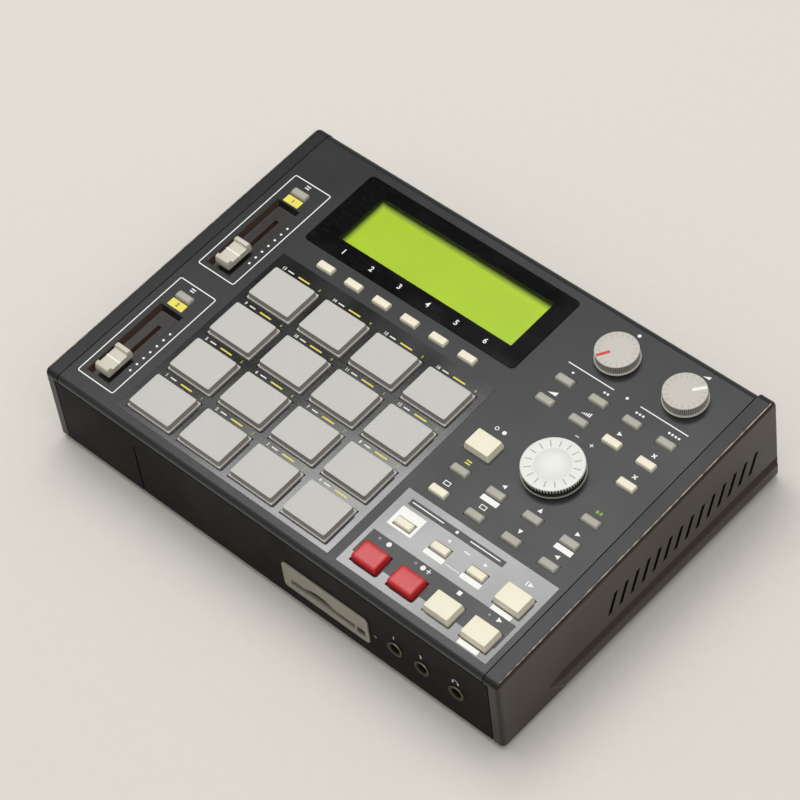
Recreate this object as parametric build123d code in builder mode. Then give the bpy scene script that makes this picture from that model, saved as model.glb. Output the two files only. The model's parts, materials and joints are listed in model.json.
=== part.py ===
"""A tabletop audio sampler: a wedge case with a 4 by 4 pad grid, keys, faders, knobs and a data dial.

Units are millimetres. X runs to the player's right, Y to the rear and Z up. The origin lies on the
table, under the middle of the case. Places on the sloping top panel are given as (x, v): v is the
distance up the slope from the front edge, and h is the height above the panel's face.
"""

import math
import os

from build123d import *

# Case
CASE_WIDTH = 335.0
CASE_DEPTH = 225.0
FOOT_HEIGHT = 4.5
FRONT_HEIGHT = 59.5
REAR_HEIGHT = 69.5
WALL = 2.5
CHEEK_WALL = 3.0
CHEEK_EDGE = 2.6
CHEEK_TAILS = {"right_cheek": (1.7, 4.7), "left_cheek": (0.2, 3.2)}
FRONT_ROLL = 3.5
REAR_ROLL = 5.0
PANEL_WIDTH = 314.0
SEAM = 0.6
FRONT_LIP = 4.4
REAR_LIP = 8.0
LIP_SEAM = 0.3
REAR_STEP = 0.2
FACE_WIDTH = 320.0
PAN_SHEET = 1.6

# Pads
PAD_FIRST = (-95.0, 23.5)
PAD_PITCH = (38.9, 31.55)
PAD_SKIRT = (32.6, 25.5)
PAD_CROWN = (32.2, 24.6)
PAD_TOP = 4.7
PAD_SHOULDER = 1.0
PAD_FOOT = -4.2
PAD_DRAFT = 13.5
PAD_GAP = 0.5
PAD_CORNER = 1.6
PAD_EDGE = 0.5
GRID = 4

# Keys
KEY_SIZE = (11.2, 5.1)
KEY_TOP = 1.9
KEY_SHOULDER = 0.6
KEY_FOOT = -4.6
KEY_WEB = 0.8
KEY_WEB_WIDTH = 3.6
KEY_DRAFT = 13.0
KEY_GAP = 0.4
KEY_EDGE = 0.35
COLUMN_FIRST, COLUMN_PITCH = 63.5, 25.37
BANK_FIRST, BANK_PITCH = 69.0, 23.3
FUNCTION_FIRST, FUNCTION_PITCH = -89.6, 21.25
BIG_KEY_SIZE = (17.5, 13.5)
BIG_KEY_TOP = 4.5
BIG_KEY_SHOULDER = 1.2
BIG_KEY_EDGE = 0.6

# Display
WINDOW_SIZE = (157.0, 58.0)
WINDOW_CENTRE = (-36.9, 186.0)
WINDOW_PROUD = 0.3
WINDOW_BACK = -2.0
WINDOW_CORNER = 3.0
LCD_SIZE = (139.0, 47.0)
LCD_CENTRE = (-34.5, 187.2)

# Faders
FADER_X = -139.0
FADER_WELLS = (140.0, 44.2)
FADER_REST = -16.4
WELL_SIZE = (18.2, 59.0)
WELL_DEPTH = 4.0
WELL_WALL = 1.6
CAP_SIZE = (10.5, 20.0)
CAP_TOP = 5.0
CAP_SADDLE = 2.6
STEM_SIZE = (1.2, 3.0)
FADER_SLOT = (4.0, 38.0)

# Knobs and dial
KNOB_RADIUS = 13.0
KNOB_TOP = 7.2
KNOB_LIFT = 0.6
KNOB_CENTRES = {"gain_knob": (81.6, 197.7), "volume_knob": (128.3, 198.0)}
KNOB_ANGLES = {"gain_knob": -147.0, "volume_knob": 41.0}
DIAL_CENTRE = (103.3, 119.0)
DIAL_RADIUS = 18.0
DIAL_TOP = 7.0
DIAL_DISH = 11.0
SHAFT_RADIUS = 3.0
SHAFT_FIT = 0.05
SHAFT_HOLE = 3.8

# Ledge and groove along the foot of each cheek
LEDGE_REACH = 1.0
LEDGE_FOOT = 8.0
LEDGE_SHOULDER = 14.8
LEDGE_TOP = 16.5
GROOVE_DEPTH = 1.5

# Screws between the pan and the cheeks
BOSS_PLACES = (-88.0, 0.0, 88.0)
SCREW_X = 155.5
SCREW_RADIUS = 1.5

# Boards under the panel
BOARD_TOP = -6.2
BOARD = 1.6
MAT = 0.8

# Front and rear connectors
JACK_BORE = 3.25
JACK_BUSH = 4.5
JACK_RING = 5.2
JACK_FIT = 0.2
JACK_PROUD = 0.8
JACK_BODY = (15.0, 15.0)
JACK_DEPTH = 28.0
FRONT_JACKS = (94.0, 113.0, 137.0)
FRONT_JACK_Z = 26.5
REAR_JACKS = (50.0, 75.0, 100.0, 125.0)
REAR_Z = 32.0
BEZEL_CENTRE = (44.2, 25.0)
BEZEL_SIZE = (62.5, 21.0)
BEZEL_PLUG = (59.5, 18.8)
CARD_MOUTH = (46.8, 4.8)
MOUTH_CENTRE = (41.9, 21.3)
CARD_SLOT = (45.8, 4.3)
CARD_CENTRE = (41.9, 21.55)
EJECT_CENTRE = (69.8, 21.2)
EJECT_SIZE = (5.2, 4.6)
EJECT_GAP = 0.4
MIDI_PLACES = (-35.0, -8.0)
MIDI_RADIUS = 8.6
MAINS_BODY = (56.0, 27.0)
MAINS_CENTRE = (-111.5, 32.0)
INLET_CENTRE = (-125.0, 32.0)
INLET_CAVITY = (24.4, 16.4)
ROCKER_CENTRE = (-97.0, 32.0)
ROCKER_PIVOT_Y = 108.1
ROCKER_TILT = 10.0
ROCKER_WIDTH = 11.0
ROCKER_HALF = 9.3

# Derived sizes
HALF_WIDTH = CASE_WIDTH / 2
HALF_DEPTH = CASE_DEPTH / 2
SLOPE = math.atan2(REAR_HEIGHT - FRONT_HEIGHT, CASE_DEPTH)
PANEL_LENGTH = CASE_DEPTH / math.cos(SLOPE) - REAR_STEP
PANEL = Plane(
    origin=(0, -HALF_DEPTH, FRONT_HEIGHT),
    x_dir=(1, 0, 0),
    z_dir=(0, -math.sin(SLOPE), math.cos(SLOPE)),
)
NORMAL = Axis((0, -HALF_DEPTH, FRONT_HEIGHT), (0, -math.sin(SLOPE), math.cos(SLOPE)))
FRONT = Plane(origin=(0, -HALF_DEPTH, 0), x_dir=(1, 0, 0), z_dir=(0, -1, 0))
REAR = Plane(origin=(0, HALF_DEPTH, 0), x_dir=(-1, 0, 0), z_dir=(0, 1, 0))

PAD_CENTRES = [
    (PAD_FIRST[0] + column * PAD_PITCH[0], PAD_FIRST[1] + row * PAD_PITCH[1])
    for row in range(GRID)
    for column in range(GRID)
]
COLUMNS = [COLUMN_FIRST + COLUMN_PITCH * step for step in range(4)]
BANKS = [BANK_FIRST + BANK_PITCH * step for step in range(4)]
FUNCTIONS = [FUNCTION_FIRST + FUNCTION_PITCH * step for step in range(6)]
AFTER_X = FADER_X - 0.2
AFTER_WEB_X = -153.0
PAGE_WEB_V = 65.5

KEY_STRIPS = {
    "function_keys": [(x, 148.2) for x in FUNCTIONS],
    "after_keys": [(AFTER_X, 179.0), (AFTER_X, 84.0)],
    "bank_keys": [(x, 168.6) for x in BANKS],
    "level_keys": [(x, 152.1) for x in BANKS],
    "edit_keys": [(139.4, 135.4), (139.4, 106.3)],
    "mode_keys": [(COLUMNS[0], 89.2), (COLUMNS[0], 72.2)],
    "cursor_keys": [(COLUMNS[1], 89.2), (COLUMNS[3], 89.2), (COLUMNS[2], 89.2), (COLUMNS[2], 72.2)],
    "page_keys": [(COLUMNS[1], 72.2), (COLUMNS[3], 72.2)],
    "locate_keys": [(x, 45.3) for x in COLUMNS[:3]],
}
BIG_KEYS = {
    "tap_key": (63.4, 108.6),
    "play_start_key": (140.2, 44.4),
    "rec_key": (64.0, 18.6),
    "overdub_key": (89.4, 18.6),
    "stop_key": (114.8, 18.6),
    "play_key": (140.2, 18.6),
}
KEY_CENTRES = [centre for strip in KEY_STRIPS.values() for centre in strip]


def panel_at(height):
    """The plane parallel to the panel's face, at a height above it."""
    return PANEL.offset(height)


def grown(size, margin):
    """A width and length, each made larger by a margin on both sides."""
    return (size[0] + 2 * margin, size[1] + 2 * margin)


def save(builder, name):
    """Label a finished piece and write it."""
    builder.part.label = name
    export_step(builder.part, f"parts/{name}.step")


def top_panel():
    """The sloping panel: a bent plate with openings for pads, keys, faders, knobs and the display."""
    side = Plane(
        origin=(-PANEL_WIDTH / 2, -HALF_DEPTH, FRONT_HEIGHT),
        x_dir=(0, math.cos(SLOPE), math.sin(SLOPE)),
        z_dir=(1, 0, 0),
    )
    inner = PANEL_LENGTH - WALL
    with BuildPart() as panel:
        with BuildSketch(side):
            with BuildLine():
                Polyline((0, -FRONT_LIP), (0, 0), (PANEL_LENGTH, 0), (PANEL_LENGTH, -REAR_LIP))
                Line((PANEL_LENGTH, -REAR_LIP), (inner, -REAR_LIP))
                Polyline((inner, -REAR_LIP), (inner, -WALL), (WALL, -WALL), (WALL, -FRONT_LIP))
                Line((WALL, -FRONT_LIP), (0, -FRONT_LIP))
            make_face()
        extrude(amount=PANEL_WIDTH)
        fillet(panel.edges().filter_by(Axis.X).group_by(NORMAL)[-1].sort_by(Axis.Y)[0], FRONT_ROLL)
        fillet(panel.edges().filter_by(Axis.X).group_by(NORMAL)[-1].sort_by(Axis.Y)[-1], REAR_ROLL)
        with BuildSketch(panel_at(-WALL)):
            with Locations(*[(FADER_X, v) for v in FADER_WELLS]):
                Rectangle(*grown(WELL_SIZE, WELL_WALL))
        extrude(amount=WALL - WELL_DEPTH - WELL_WALL)
        with BuildSketch(panel_at(0)):
            with Locations(*PAD_CENTRES):
                Rectangle(*grown(PAD_SKIRT, PAD_GAP))
            with Locations(*KEY_CENTRES):
                Rectangle(*grown(KEY_SIZE, KEY_GAP))
            with Locations(*BIG_KEYS.values()):
                Rectangle(*grown(BIG_KEY_SIZE, KEY_GAP))
            with Locations(WINDOW_CENTRE):
                RectangleRounded(*grown(WINDOW_SIZE, JACK_FIT), WINDOW_CORNER + JACK_FIT)
            with Locations(*KNOB_CENTRES.values(), DIAL_CENTRE):
                Circle(SHAFT_HOLE)
        extrude(amount=-WALL, mode=Mode.SUBTRACT)
        with BuildSketch(panel_at(0)):
            with Locations(*[(FADER_X, v) for v in FADER_WELLS]):
                Rectangle(*WELL_SIZE)
        extrude(amount=-WELL_DEPTH, mode=Mode.SUBTRACT)
        with BuildSketch(panel_at(-WELL_DEPTH)):
            with Locations(*[(FADER_X, v) for v in FADER_WELLS]):
                Rectangle(*FADER_SLOT)
        extrude(amount=-WELL_WALL, mode=Mode.SUBTRACT)
    save(panel, "top_panel")


def cheek(name, side):
    """One end cheek: a shell with a top strip, front and rear returns, a groove over a ledge, and bosses."""
    strip_start = PANEL_WIDTH / 2 + SEAM
    return_start = FACE_WIDTH / 2 + SEAM
    inner_wall = HALF_WIDTH - CHEEK_WALL
    lip_front = FRONT_HEIGHT - FRONT_LIP
    lip_rear = REAR_HEIGHT - REAR_LIP
    ledge_start = -64.0
    ledge_tip = -75.0
    tip_share = 0.12
    tail_top, tail_foot = CHEEK_TAILS[name]
    ledge_end = HALF_DEPTH + tail_top
    boss_start = 151.0
    boss_length = 10.0
    boss_top = 17.0
    slot_pitch = 9.0
    slot_first = -28.0
    slot_count = 14
    slot_low, slot_high = 28.0, 42.5
    slot_width = 3.0
    slot_lean = 6.0
    slot_depth = 1.2
    tail_height = REAR_HEIGHT + tail_top * math.tan(SLOPE)
    with BuildPart() as end:
        with BuildSketch(Plane.YZ.offset(strip_start)) as outline:
            with BuildLine():
                Polyline(
                    (-HALF_DEPTH, FOOT_HEIGHT),
                    (HALF_DEPTH + tail_foot, FOOT_HEIGHT),
                    (HALF_DEPTH + tail_top, tail_height),
                    (-HALF_DEPTH, FRONT_HEIGHT),
                    close=True,
                )
            make_face()
            fillet(outline.vertices().sort_by(Axis.Y)[-2], FRONT_ROLL)
            fillet(outline.vertices().sort_by(Axis.Y)[-1], REAR_ROLL)
        extrude(amount=HALF_WIDTH - strip_start)
        rim = end.faces().sort_by(Axis.X)[-1].edges().sort_by(Axis.Z)
        fillet(rim[1:], CHEEK_EDGE)
        with BuildSketch(Plane.YZ.offset(strip_start)):
            with BuildLine():
                Polyline(
                    (-HALF_DEPTH + CHEEK_WALL, FOOT_HEIGHT),
                    (HALF_DEPTH - CHEEK_WALL, FOOT_HEIGHT),
                    (HALF_DEPTH - CHEEK_WALL, REAR_HEIGHT - CHEEK_WALL),
                    (-HALF_DEPTH + CHEEK_WALL, FRONT_HEIGHT - CHEEK_WALL),
                    close=True,
                )
            make_face()
        extrude(amount=inner_wall - strip_start, mode=Mode.SUBTRACT)
        with BuildSketch(Plane.YZ.offset(strip_start)):
            with Locations((-HALF_DEPTH, FOOT_HEIGHT)):
                Rectangle(CHEEK_WALL, lip_front - FOOT_HEIGHT, align=(Align.MIN, Align.MIN))
            with Locations((HALF_DEPTH - CHEEK_WALL, FOOT_HEIGHT)):
                Rectangle(CHEEK_WALL + tail_foot, lip_rear - FOOT_HEIGHT, align=(Align.MIN, Align.MIN))
        extrude(amount=return_start - strip_start, mode=Mode.SUBTRACT)
        with BuildSketch(Plane.XY.offset(FOOT_HEIGHT + PAN_SHEET + JACK_FIT)):
            with Locations(*[(boss_start, y) for y in BOSS_PLACES]):
                Rectangle(inner_wall - boss_start, boss_length, align=(Align.MIN, Align.CENTER))
        extrude(amount=boss_top - FOOT_HEIGHT - PAN_SHEET)
        with BuildSketch(Plane.XY.offset(FOOT_HEIGHT)):
            with Locations(*[(SCREW_X, y) for y in BOSS_PLACES]):
                Circle(SCREW_RADIUS + SHAFT_FIT)
        extrude(amount=boss_top - FOOT_HEIGHT, mode=Mode.SUBTRACT)
        with BuildSketch(Plane.XZ.offset(-ledge_start)):
            Polygon(*groove_section(1), align=None)
        extrude(amount=ledge_start - CASE_DEPTH, mode=Mode.SUBTRACT)
        with BuildSketch(Plane.XZ.offset(-ledge_start)):
            Polygon(*groove_section(1), align=None)
        with BuildSketch(Plane.XZ.offset(-ledge_tip)):
            Polygon(*groove_section(tip_share), align=None)
        loft(mode=Mode.SUBTRACT)
        with BuildSketch(Plane.XZ.offset(-ledge_start)):
            Polygon(*ledge_section(1), align=None)
        extrude(amount=ledge_start - ledge_end)
        with BuildSketch(Plane.XZ.offset(-ledge_start)):
            Polygon(*ledge_section(1), align=None)
        with BuildSketch(Plane.XZ.offset(-ledge_tip)):
            Polygon(*ledge_section(tip_share), align=None)
        loft()
        with BuildSketch(Plane.YZ.offset(HALF_WIDTH - slot_depth)):
            for step in range(slot_count):
                low = slot_first + step * slot_pitch
                high = low + slot_lean
                Polygon(
                    (low, slot_low),
                    (low + slot_width, slot_low),
                    (high + slot_width, slot_high),
                    (high, slot_high),
                    align=None,
                )
        extrude(amount=slot_depth, mode=Mode.SUBTRACT)
        if side < 0:
            mirror(about=Plane.YZ, mode=Mode.REPLACE)
    save(end, name)


def ledge_section(share):
    """The corners of the cheek's lower ledge, rooted inside the wall, at a share of its full size."""
    root = HALF_WIDTH - CHEEK_WALL / 2
    corners = [(0, FOOT_HEIGHT), (LEDGE_REACH, LEDGE_FOOT), (LEDGE_REACH, LEDGE_SHOULDER), (0, LEDGE_TOP)]
    outer = [(HALF_WIDTH + x * share, LEDGE_TOP + (z - LEDGE_TOP) * share) for x, z in corners]
    return [(root, outer[0][1]), *outer, (root, LEDGE_TOP)]


def groove_section(share):
    """The corners of the groove over the ledge, at a share of its full size."""
    rise = (LEDGE_TOP - LEDGE_SHOULDER) / LEDGE_REACH
    bottom = (HALF_WIDTH - GROOVE_DEPTH * share, LEDGE_TOP + rise * GROOVE_DEPTH * share)
    return [
        bottom,
        (HALF_WIDTH + LEDGE_REACH, LEDGE_TOP - rise * LEDGE_REACH),
        (HALF_WIDTH + LEDGE_REACH, bottom[1] + LEDGE_REACH + GROOVE_DEPTH * share),
    ]


def chassis_pan():
    """The sheet bottom: a floor, upturned flanges and posts for the boards."""
    pan_size = (FACE_WIDTH, CASE_DEPTH - 2 * WALL - 2 * SEAM)
    flange = 8.0
    post_top = 14.0
    posts = [(x, y) for x in (-20.0, 60.0, 140.0) for y in (-60.0, 60.0)]
    with BuildPart() as pan:
        with BuildSketch(Plane.XY.offset(FOOT_HEIGHT)):
            Rectangle(*pan_size)
            with Locations(*[(x, y) for x in (-SCREW_X, SCREW_X) for y in BOSS_PLACES]):
                Circle(SCREW_RADIUS + JACK_FIT, mode=Mode.SUBTRACT)
        extrude(amount=PAN_SHEET)
        with BuildSketch(Plane.XY.offset(FOOT_HEIGHT + PAN_SHEET)):
            with Locations((0, pan_size[1] / 2), (0, -pan_size[1] / 2)):
                Rectangle(pan_size[0] * 0.92, 2 * PAN_SHEET)
            Rectangle(pan_size[0], pan_size[1] + 4 * PAN_SHEET, mode=Mode.INTERSECT)
            Rectangle(*pan_size, mode=Mode.INTERSECT)
        extrude(amount=flange)
        with BuildSketch(Plane.XY.offset(FOOT_HEIGHT + PAN_SHEET)):
            with Locations(*posts):
                Circle(3.5)
        extrude(amount=post_top - FOOT_HEIGHT - PAN_SHEET)
    save(pan, "chassis_pan")


def front_panel():
    """The front plate, with the card opening, three jack holes and one upright seam groove."""
    top = FRONT_HEIGHT - FRONT_LIP - LIP_SEAM
    seam_x = -99.0
    seam_top = 43.5
    seam_width = 0.9
    seam_depth = 0.7
    with BuildPart() as face:
        with BuildSketch(FRONT.offset(-WALL)):
            with Locations((0, FOOT_HEIGHT)):
                Rectangle(FACE_WIDTH, top - FOOT_HEIGHT, align=(Align.CENTER, Align.MIN))
            with Locations(BEZEL_CENTRE):
                Rectangle(*grown(BEZEL_PLUG, JACK_FIT), mode=Mode.SUBTRACT)
            with Locations(*[(x, FRONT_JACK_Z) for x in FRONT_JACKS]):
                Circle(JACK_BUSH + JACK_FIT, mode=Mode.SUBTRACT)
        extrude(amount=WALL)
        with BuildSketch(FRONT):
            with Locations((seam_x, FOOT_HEIGHT)):
                Rectangle(seam_width, seam_top - FOOT_HEIGHT, align=(Align.CENTER, Align.MIN))
        extrude(amount=-seam_depth, mode=Mode.SUBTRACT)
    save(face, "front_panel")


def rear_panel():
    """The rear plate, with holes for the jacks, the round sockets, the mains inlet and the rocker."""
    top = REAR_HEIGHT - REAR_LIP - 2 * LIP_SEAM
    with BuildPart() as face:
        with BuildSketch(REAR.offset(-WALL)):
            with Locations((0, FOOT_HEIGHT)):
                Rectangle(FACE_WIDTH, top - FOOT_HEIGHT, align=(Align.CENTER, Align.MIN))
            with Locations(*[(-x, REAR_Z) for x in REAR_JACKS]):
                Circle(JACK_BUSH + JACK_FIT, mode=Mode.SUBTRACT)
            with Locations(*[(-x, REAR_Z) for x in MIDI_PLACES]):
                Circle(MIDI_RADIUS + JACK_FIT, mode=Mode.SUBTRACT)
            with Locations((-MAINS_CENTRE[0], MAINS_CENTRE[1])):
                Rectangle(*grown(MAINS_BODY, JACK_FIT), mode=Mode.SUBTRACT)
        extrude(amount=WALL)
    save(face, "rear_panel")


def mains_inlet():
    """The moulded mains inlet, with three pins, and the well that the power rocker swings in."""
    flange = grown(MAINS_BODY, 2.0)
    body_depth = 22.0
    cavity_depth = 17.0
    pin_length = 11.5
    pin_size = (2.0, 4.4)
    pin_places = ((-7.0, -2.0), (7.0, -2.0), (0.0, 2.0))
    well = (ROCKER_WIDTH + 1.0, 2 * ROCKER_HALF + 2.2)
    well_depth = 11.0
    pivot_radius = 1.2
    pivot_reach = 1.5
    centre = (-MAINS_CENTRE[0], MAINS_CENTRE[1])
    socket = (-INLET_CENTRE[0], INLET_CENTRE[1])
    rocker = (-ROCKER_CENTRE[0], ROCKER_CENTRE[1])
    with BuildPart() as inlet:
        with BuildSketch(REAR.offset(JACK_PROUD)):
            with Locations(centre):
                Rectangle(*flange)
        extrude(amount=-JACK_PROUD)
        with BuildSketch(REAR):
            with Locations(centre):
                Rectangle(*MAINS_BODY)
        extrude(amount=-body_depth)
        with BuildSketch(REAR.offset(JACK_PROUD)):
            with Locations(socket):
                Rectangle(*INLET_CAVITY)
        extrude(amount=-cavity_depth, mode=Mode.SUBTRACT)
        with BuildSketch(REAR.offset(JACK_PROUD - cavity_depth)):
            with Locations(*[(socket[0] + x, socket[1] + z) for x, z in pin_places]):
                Rectangle(*pin_size)
        extrude(amount=pin_length)
        with BuildSketch(REAR.offset(JACK_PROUD)):
            with Locations(rocker):
                Rectangle(*well)
        extrude(amount=-well_depth, mode=Mode.SUBTRACT)
        with BuildSketch(Plane.YZ.offset(ROCKER_CENTRE[0] - well[0] / 2 - pivot_reach)):
            with Locations((ROCKER_PIVOT_Y, ROCKER_CENTRE[1])):
                Circle(pivot_radius + SHAFT_FIT)
        extrude(amount=well[0] + 2 * pivot_reach, mode=Mode.SUBTRACT)
    save(inlet, "mains_inlet")
    with BuildPart() as rocker_switch:
        rise = ROCKER_HALF * math.tan(math.radians(ROCKER_TILT))
        tilt = math.radians(ROCKER_TILT)
        outline = [
            (-2.0, -ROCKER_HALF * 0.7),
            (2.0 + rise, -ROCKER_HALF),
            (2.0, 0.0),
            (2.0 + rise, ROCKER_HALF),
            (-2.0, ROCKER_HALF * 0.7),
        ]
        turned = [
            (
                ROCKER_PIVOT_Y + a * math.cos(tilt) - b * math.sin(tilt),
                ROCKER_CENTRE[1] + a * math.sin(tilt) + b * math.cos(tilt),
            )
            for a, b in outline
        ]
        with BuildSketch(Plane.YZ.offset(ROCKER_CENTRE[0] - ROCKER_WIDTH / 2)):
            Polygon(*turned, align=None)
        extrude(amount=ROCKER_WIDTH)
        pin_span = well[0] + 2 * pivot_reach - 2 * JACK_FIT
        with BuildSketch(Plane.YZ.offset(ROCKER_CENTRE[0] - pin_span / 2)):
            with Locations((ROCKER_PIVOT_Y, ROCKER_CENTRE[1])):
                Circle(pivot_radius)
        extrude(amount=pin_span)
    save(rocker_switch, "power_switch")


def display():
    """The display window set in the panel, and the display module behind it."""
    with BuildPart() as window:
        with BuildSketch(panel_at(WINDOW_BACK)):
            with Locations(WINDOW_CENTRE):
                RectangleRounded(*WINDOW_SIZE, WINDOW_CORNER)
        extrude(amount=WINDOW_PROUD - WINDOW_BACK)
    save(window, "display_window")
    module_top = -3.0
    module_depth = 6.0
    board = (150.0, 52.0)
    with BuildPart() as module:
        with BuildSketch(panel_at(module_top)):
            with Locations(LCD_CENTRE):
                Rectangle(*LCD_SIZE)
        extrude(amount=-module_depth)
        with BuildSketch(panel_at(module_top - module_depth)):
            with Locations(LCD_CENTRE):
                Rectangle(*board)
        extrude(amount=-BOARD)
    save(module, "display_module")


def pads():
    """Sixteen drum pads, numbered from the front left, and the sensor mat that they press."""
    for number, centre in enumerate(PAD_CENTRES, start=1):
        with BuildPart() as pad:
            with BuildSketch(panel_at(PAD_FOOT)):
                with Locations(centre):
                    Rectangle(*PAD_SKIRT)
            extrude(amount=PAD_SHOULDER - PAD_FOOT)
            with BuildSketch(panel_at(PAD_SHOULDER)):
                with Locations(centre):
                    RectangleRounded(*PAD_CROWN, PAD_CORNER)
            extrude(amount=PAD_TOP - PAD_SHOULDER, taper=PAD_DRAFT)
            fillet(pad.faces().sort_by(NORMAL)[-1].edges(), PAD_EDGE)
        save(pad, f"pad_{number}")
    mat_size = (158.0, 130.0)
    mat_centre = ((PAD_CENTRES[0][0] + PAD_CENTRES[-1][0]) / 2, (PAD_CENTRES[0][1] + PAD_CENTRES[-1][1]) / 2)
    with BuildPart() as mat:
        with BuildSketch(panel_at(BOARD_TOP)):
            with Locations(mat_centre):
                Rectangle(*mat_size)
        extrude(amount=MAT)
    save(mat, "pad_mat")


def web_runs(name):
    """The rectangles, as (x, v, width, length), of the thin web that joins the keys of a strip."""
    centres = KEY_STRIPS[name]
    if name == "after_keys":
        arm = AFTER_X - AFTER_WEB_X
        middle = (centres[0][1] + centres[1][1]) / 2
        reach = centres[0][1] - centres[1][1] + KEY_WEB_WIDTH
        arms = [((AFTER_X + AFTER_WEB_X) / 2, v, arm + KEY_WEB_WIDTH, KEY_WEB_WIDTH) for _, v in centres]
        return arms + [(AFTER_WEB_X, middle, KEY_WEB_WIDTH, reach)]
    if name == "page_keys":
        span = centres[1][0] - centres[0][0]
        drop = centres[0][1] - PAGE_WEB_V
        legs = [(x, v - drop / 2, KEY_WEB_WIDTH, drop + KEY_WEB_WIDTH) for x, v in centres]
        return legs + [((centres[0][0] + centres[1][0]) / 2, PAGE_WEB_V, span, KEY_WEB_WIDTH)]
    runs = []
    for (x0, v0), (x1, v1) in zip(centres, centres[1:]):
        width = abs(x1 - x0) + KEY_WEB_WIDTH
        length = abs(v1 - v0) + KEY_WEB_WIDTH
        runs.append(((x0 + x1) / 2, (v0 + v1) / 2, width, length))
    return runs


def keys():
    """The small keys, moulded in strips on a thin web, and the six large single keys."""
    for name, centres in KEY_STRIPS.items():
        with BuildPart() as strip:
            with BuildSketch(panel_at(KEY_FOOT)):
                with Locations(*centres):
                    Rectangle(*KEY_SIZE)
            extrude(amount=KEY_SHOULDER - KEY_FOOT)
            with BuildSketch(panel_at(KEY_SHOULDER)):
                with Locations(*centres):
                    Rectangle(*KEY_SIZE)
            extrude(amount=KEY_TOP - KEY_SHOULDER, taper=KEY_DRAFT)
            crowns = strip.faces().group_by(NORMAL)[-1]
            fillet(crowns.edges(), KEY_EDGE)
            with BuildSketch(panel_at(KEY_FOOT)):
                for x, v, width, length in web_runs(name):
                    with Locations((x, v)):
                        Rectangle(width, length)
            extrude(amount=KEY_WEB)
        save(strip, name)
    for name, centre in BIG_KEYS.items():
        with BuildPart() as key:
            with BuildSketch(panel_at(KEY_FOOT)):
                with Locations(centre):
                    Rectangle(*BIG_KEY_SIZE)
            extrude(amount=BIG_KEY_SHOULDER - KEY_FOOT)
            with BuildSketch(panel_at(BIG_KEY_SHOULDER)):
                with Locations(centre):
                    Rectangle(*BIG_KEY_SIZE)
            extrude(amount=BIG_KEY_TOP - BIG_KEY_SHOULDER, taper=KEY_DRAFT)
            fillet(key.faces().sort_by(NORMAL)[-1].edges(), BIG_KEY_EDGE)
        save(key, name)


def boards():
    """The pad board and the key board that hang under the panel, with their press switches."""
    switch = (3.4, 3.4)
    switch_top = -5.6
    pot_opening = (12.0, 66.0)
    pad_board_span = (-155.0, 46.0)
    pad_board_v = (9.0, 190.0)
    display_cut_v = 155.0
    left_strip_end = -122.0
    left_keys = KEY_STRIPS["function_keys"] + KEY_STRIPS["after_keys"]
    right_keys = [centre for centre in KEY_CENTRES if centre not in left_keys] + list(BIG_KEYS.values())
    with BuildPart() as pad_board:
        with BuildSketch(panel_at(BOARD_TOP - BOARD)):
            with Locations((pad_board_span[0], pad_board_v[0])):
                Rectangle(
                    pad_board_span[1] - pad_board_span[0],
                    display_cut_v - pad_board_v[0],
                    align=(Align.MIN, Align.MIN),
                )
            with Locations((pad_board_span[0], display_cut_v)):
                Rectangle(
                    left_strip_end - pad_board_span[0],
                    pad_board_v[1] - display_cut_v,
                    align=(Align.MIN, Align.MIN),
                )
            with Locations(*[(FADER_X, v) for v in FADER_WELLS]):
                Rectangle(*pot_opening, mode=Mode.SUBTRACT)
        extrude(amount=BOARD)
        with BuildSketch(panel_at(BOARD_TOP)):
            with Locations(*left_keys):
                Rectangle(*switch)
        extrude(amount=switch_top - BOARD_TOP)
    save(pad_board, "pad_board")
    with BuildPart() as key_board:
        with BuildSketch(panel_at(BOARD_TOP - BOARD)):
            with Locations((50.0, 9.0)):
                Rectangle(103.0, 168.0, align=(Align.MIN, Align.MIN))
        extrude(amount=BOARD)
        with BuildSketch(panel_at(BOARD_TOP)):
            with Locations(*right_keys):
                Rectangle(*switch)
        extrude(amount=switch_top - BOARD_TOP)
    save(key_board, "key_board")


def faders():
    """Two fader caps on their levers, and the slide potentiometers under the wells."""
    pot_body = (9.0, 54.0)
    pot_top = -WELL_DEPTH - WELL_WALL - JACK_FIT
    pot_depth = 7.0
    pot_slot = (2.6, 40.0)
    pot_slot_depth = 5.0
    stem_foot = -10.2
    cap_foot = -3.2
    ridge = 4.2
    for name, well in zip(("upper_fader_cap", "lower_fader_cap"), FADER_WELLS):
        centre = (FADER_X, well + FADER_REST)
        with BuildPart() as cap:
            with BuildSketch(panel_at(cap_foot)):
                with Locations(centre):
                    Rectangle(*CAP_SIZE)
            extrude(amount=CAP_SADDLE - cap_foot, taper=2.0)
            end_offset = CAP_SIZE[1] / 2 - ridge / 2 - 0.5
            with BuildSketch(panel_at(0.0)):
                with Locations((centre[0], centre[1] - end_offset), (centre[0], centre[1] + end_offset)):
                    Rectangle(CAP_SIZE[0] - 0.6, ridge)
            extrude(amount=CAP_TOP, taper=6.0)
            with BuildSketch(panel_at(stem_foot)):
                with Locations(centre):
                    Rectangle(*STEM_SIZE)
            extrude(amount=cap_foot - stem_foot)
        save(cap, name)
    with BuildPart() as pots:
        with BuildSketch(panel_at(pot_top - pot_depth)):
            with Locations(*[(FADER_X, v) for v in FADER_WELLS]):
                Rectangle(*pot_body)
        extrude(amount=pot_depth)
        with BuildSketch(panel_at(pot_top - pot_slot_depth)):
            with Locations(*[(FADER_X, v) for v in FADER_WELLS]):
                Rectangle(*pot_slot)
        extrude(amount=pot_slot_depth, mode=Mode.SUBTRACT)
    save(pots, "slide_pots")


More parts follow.
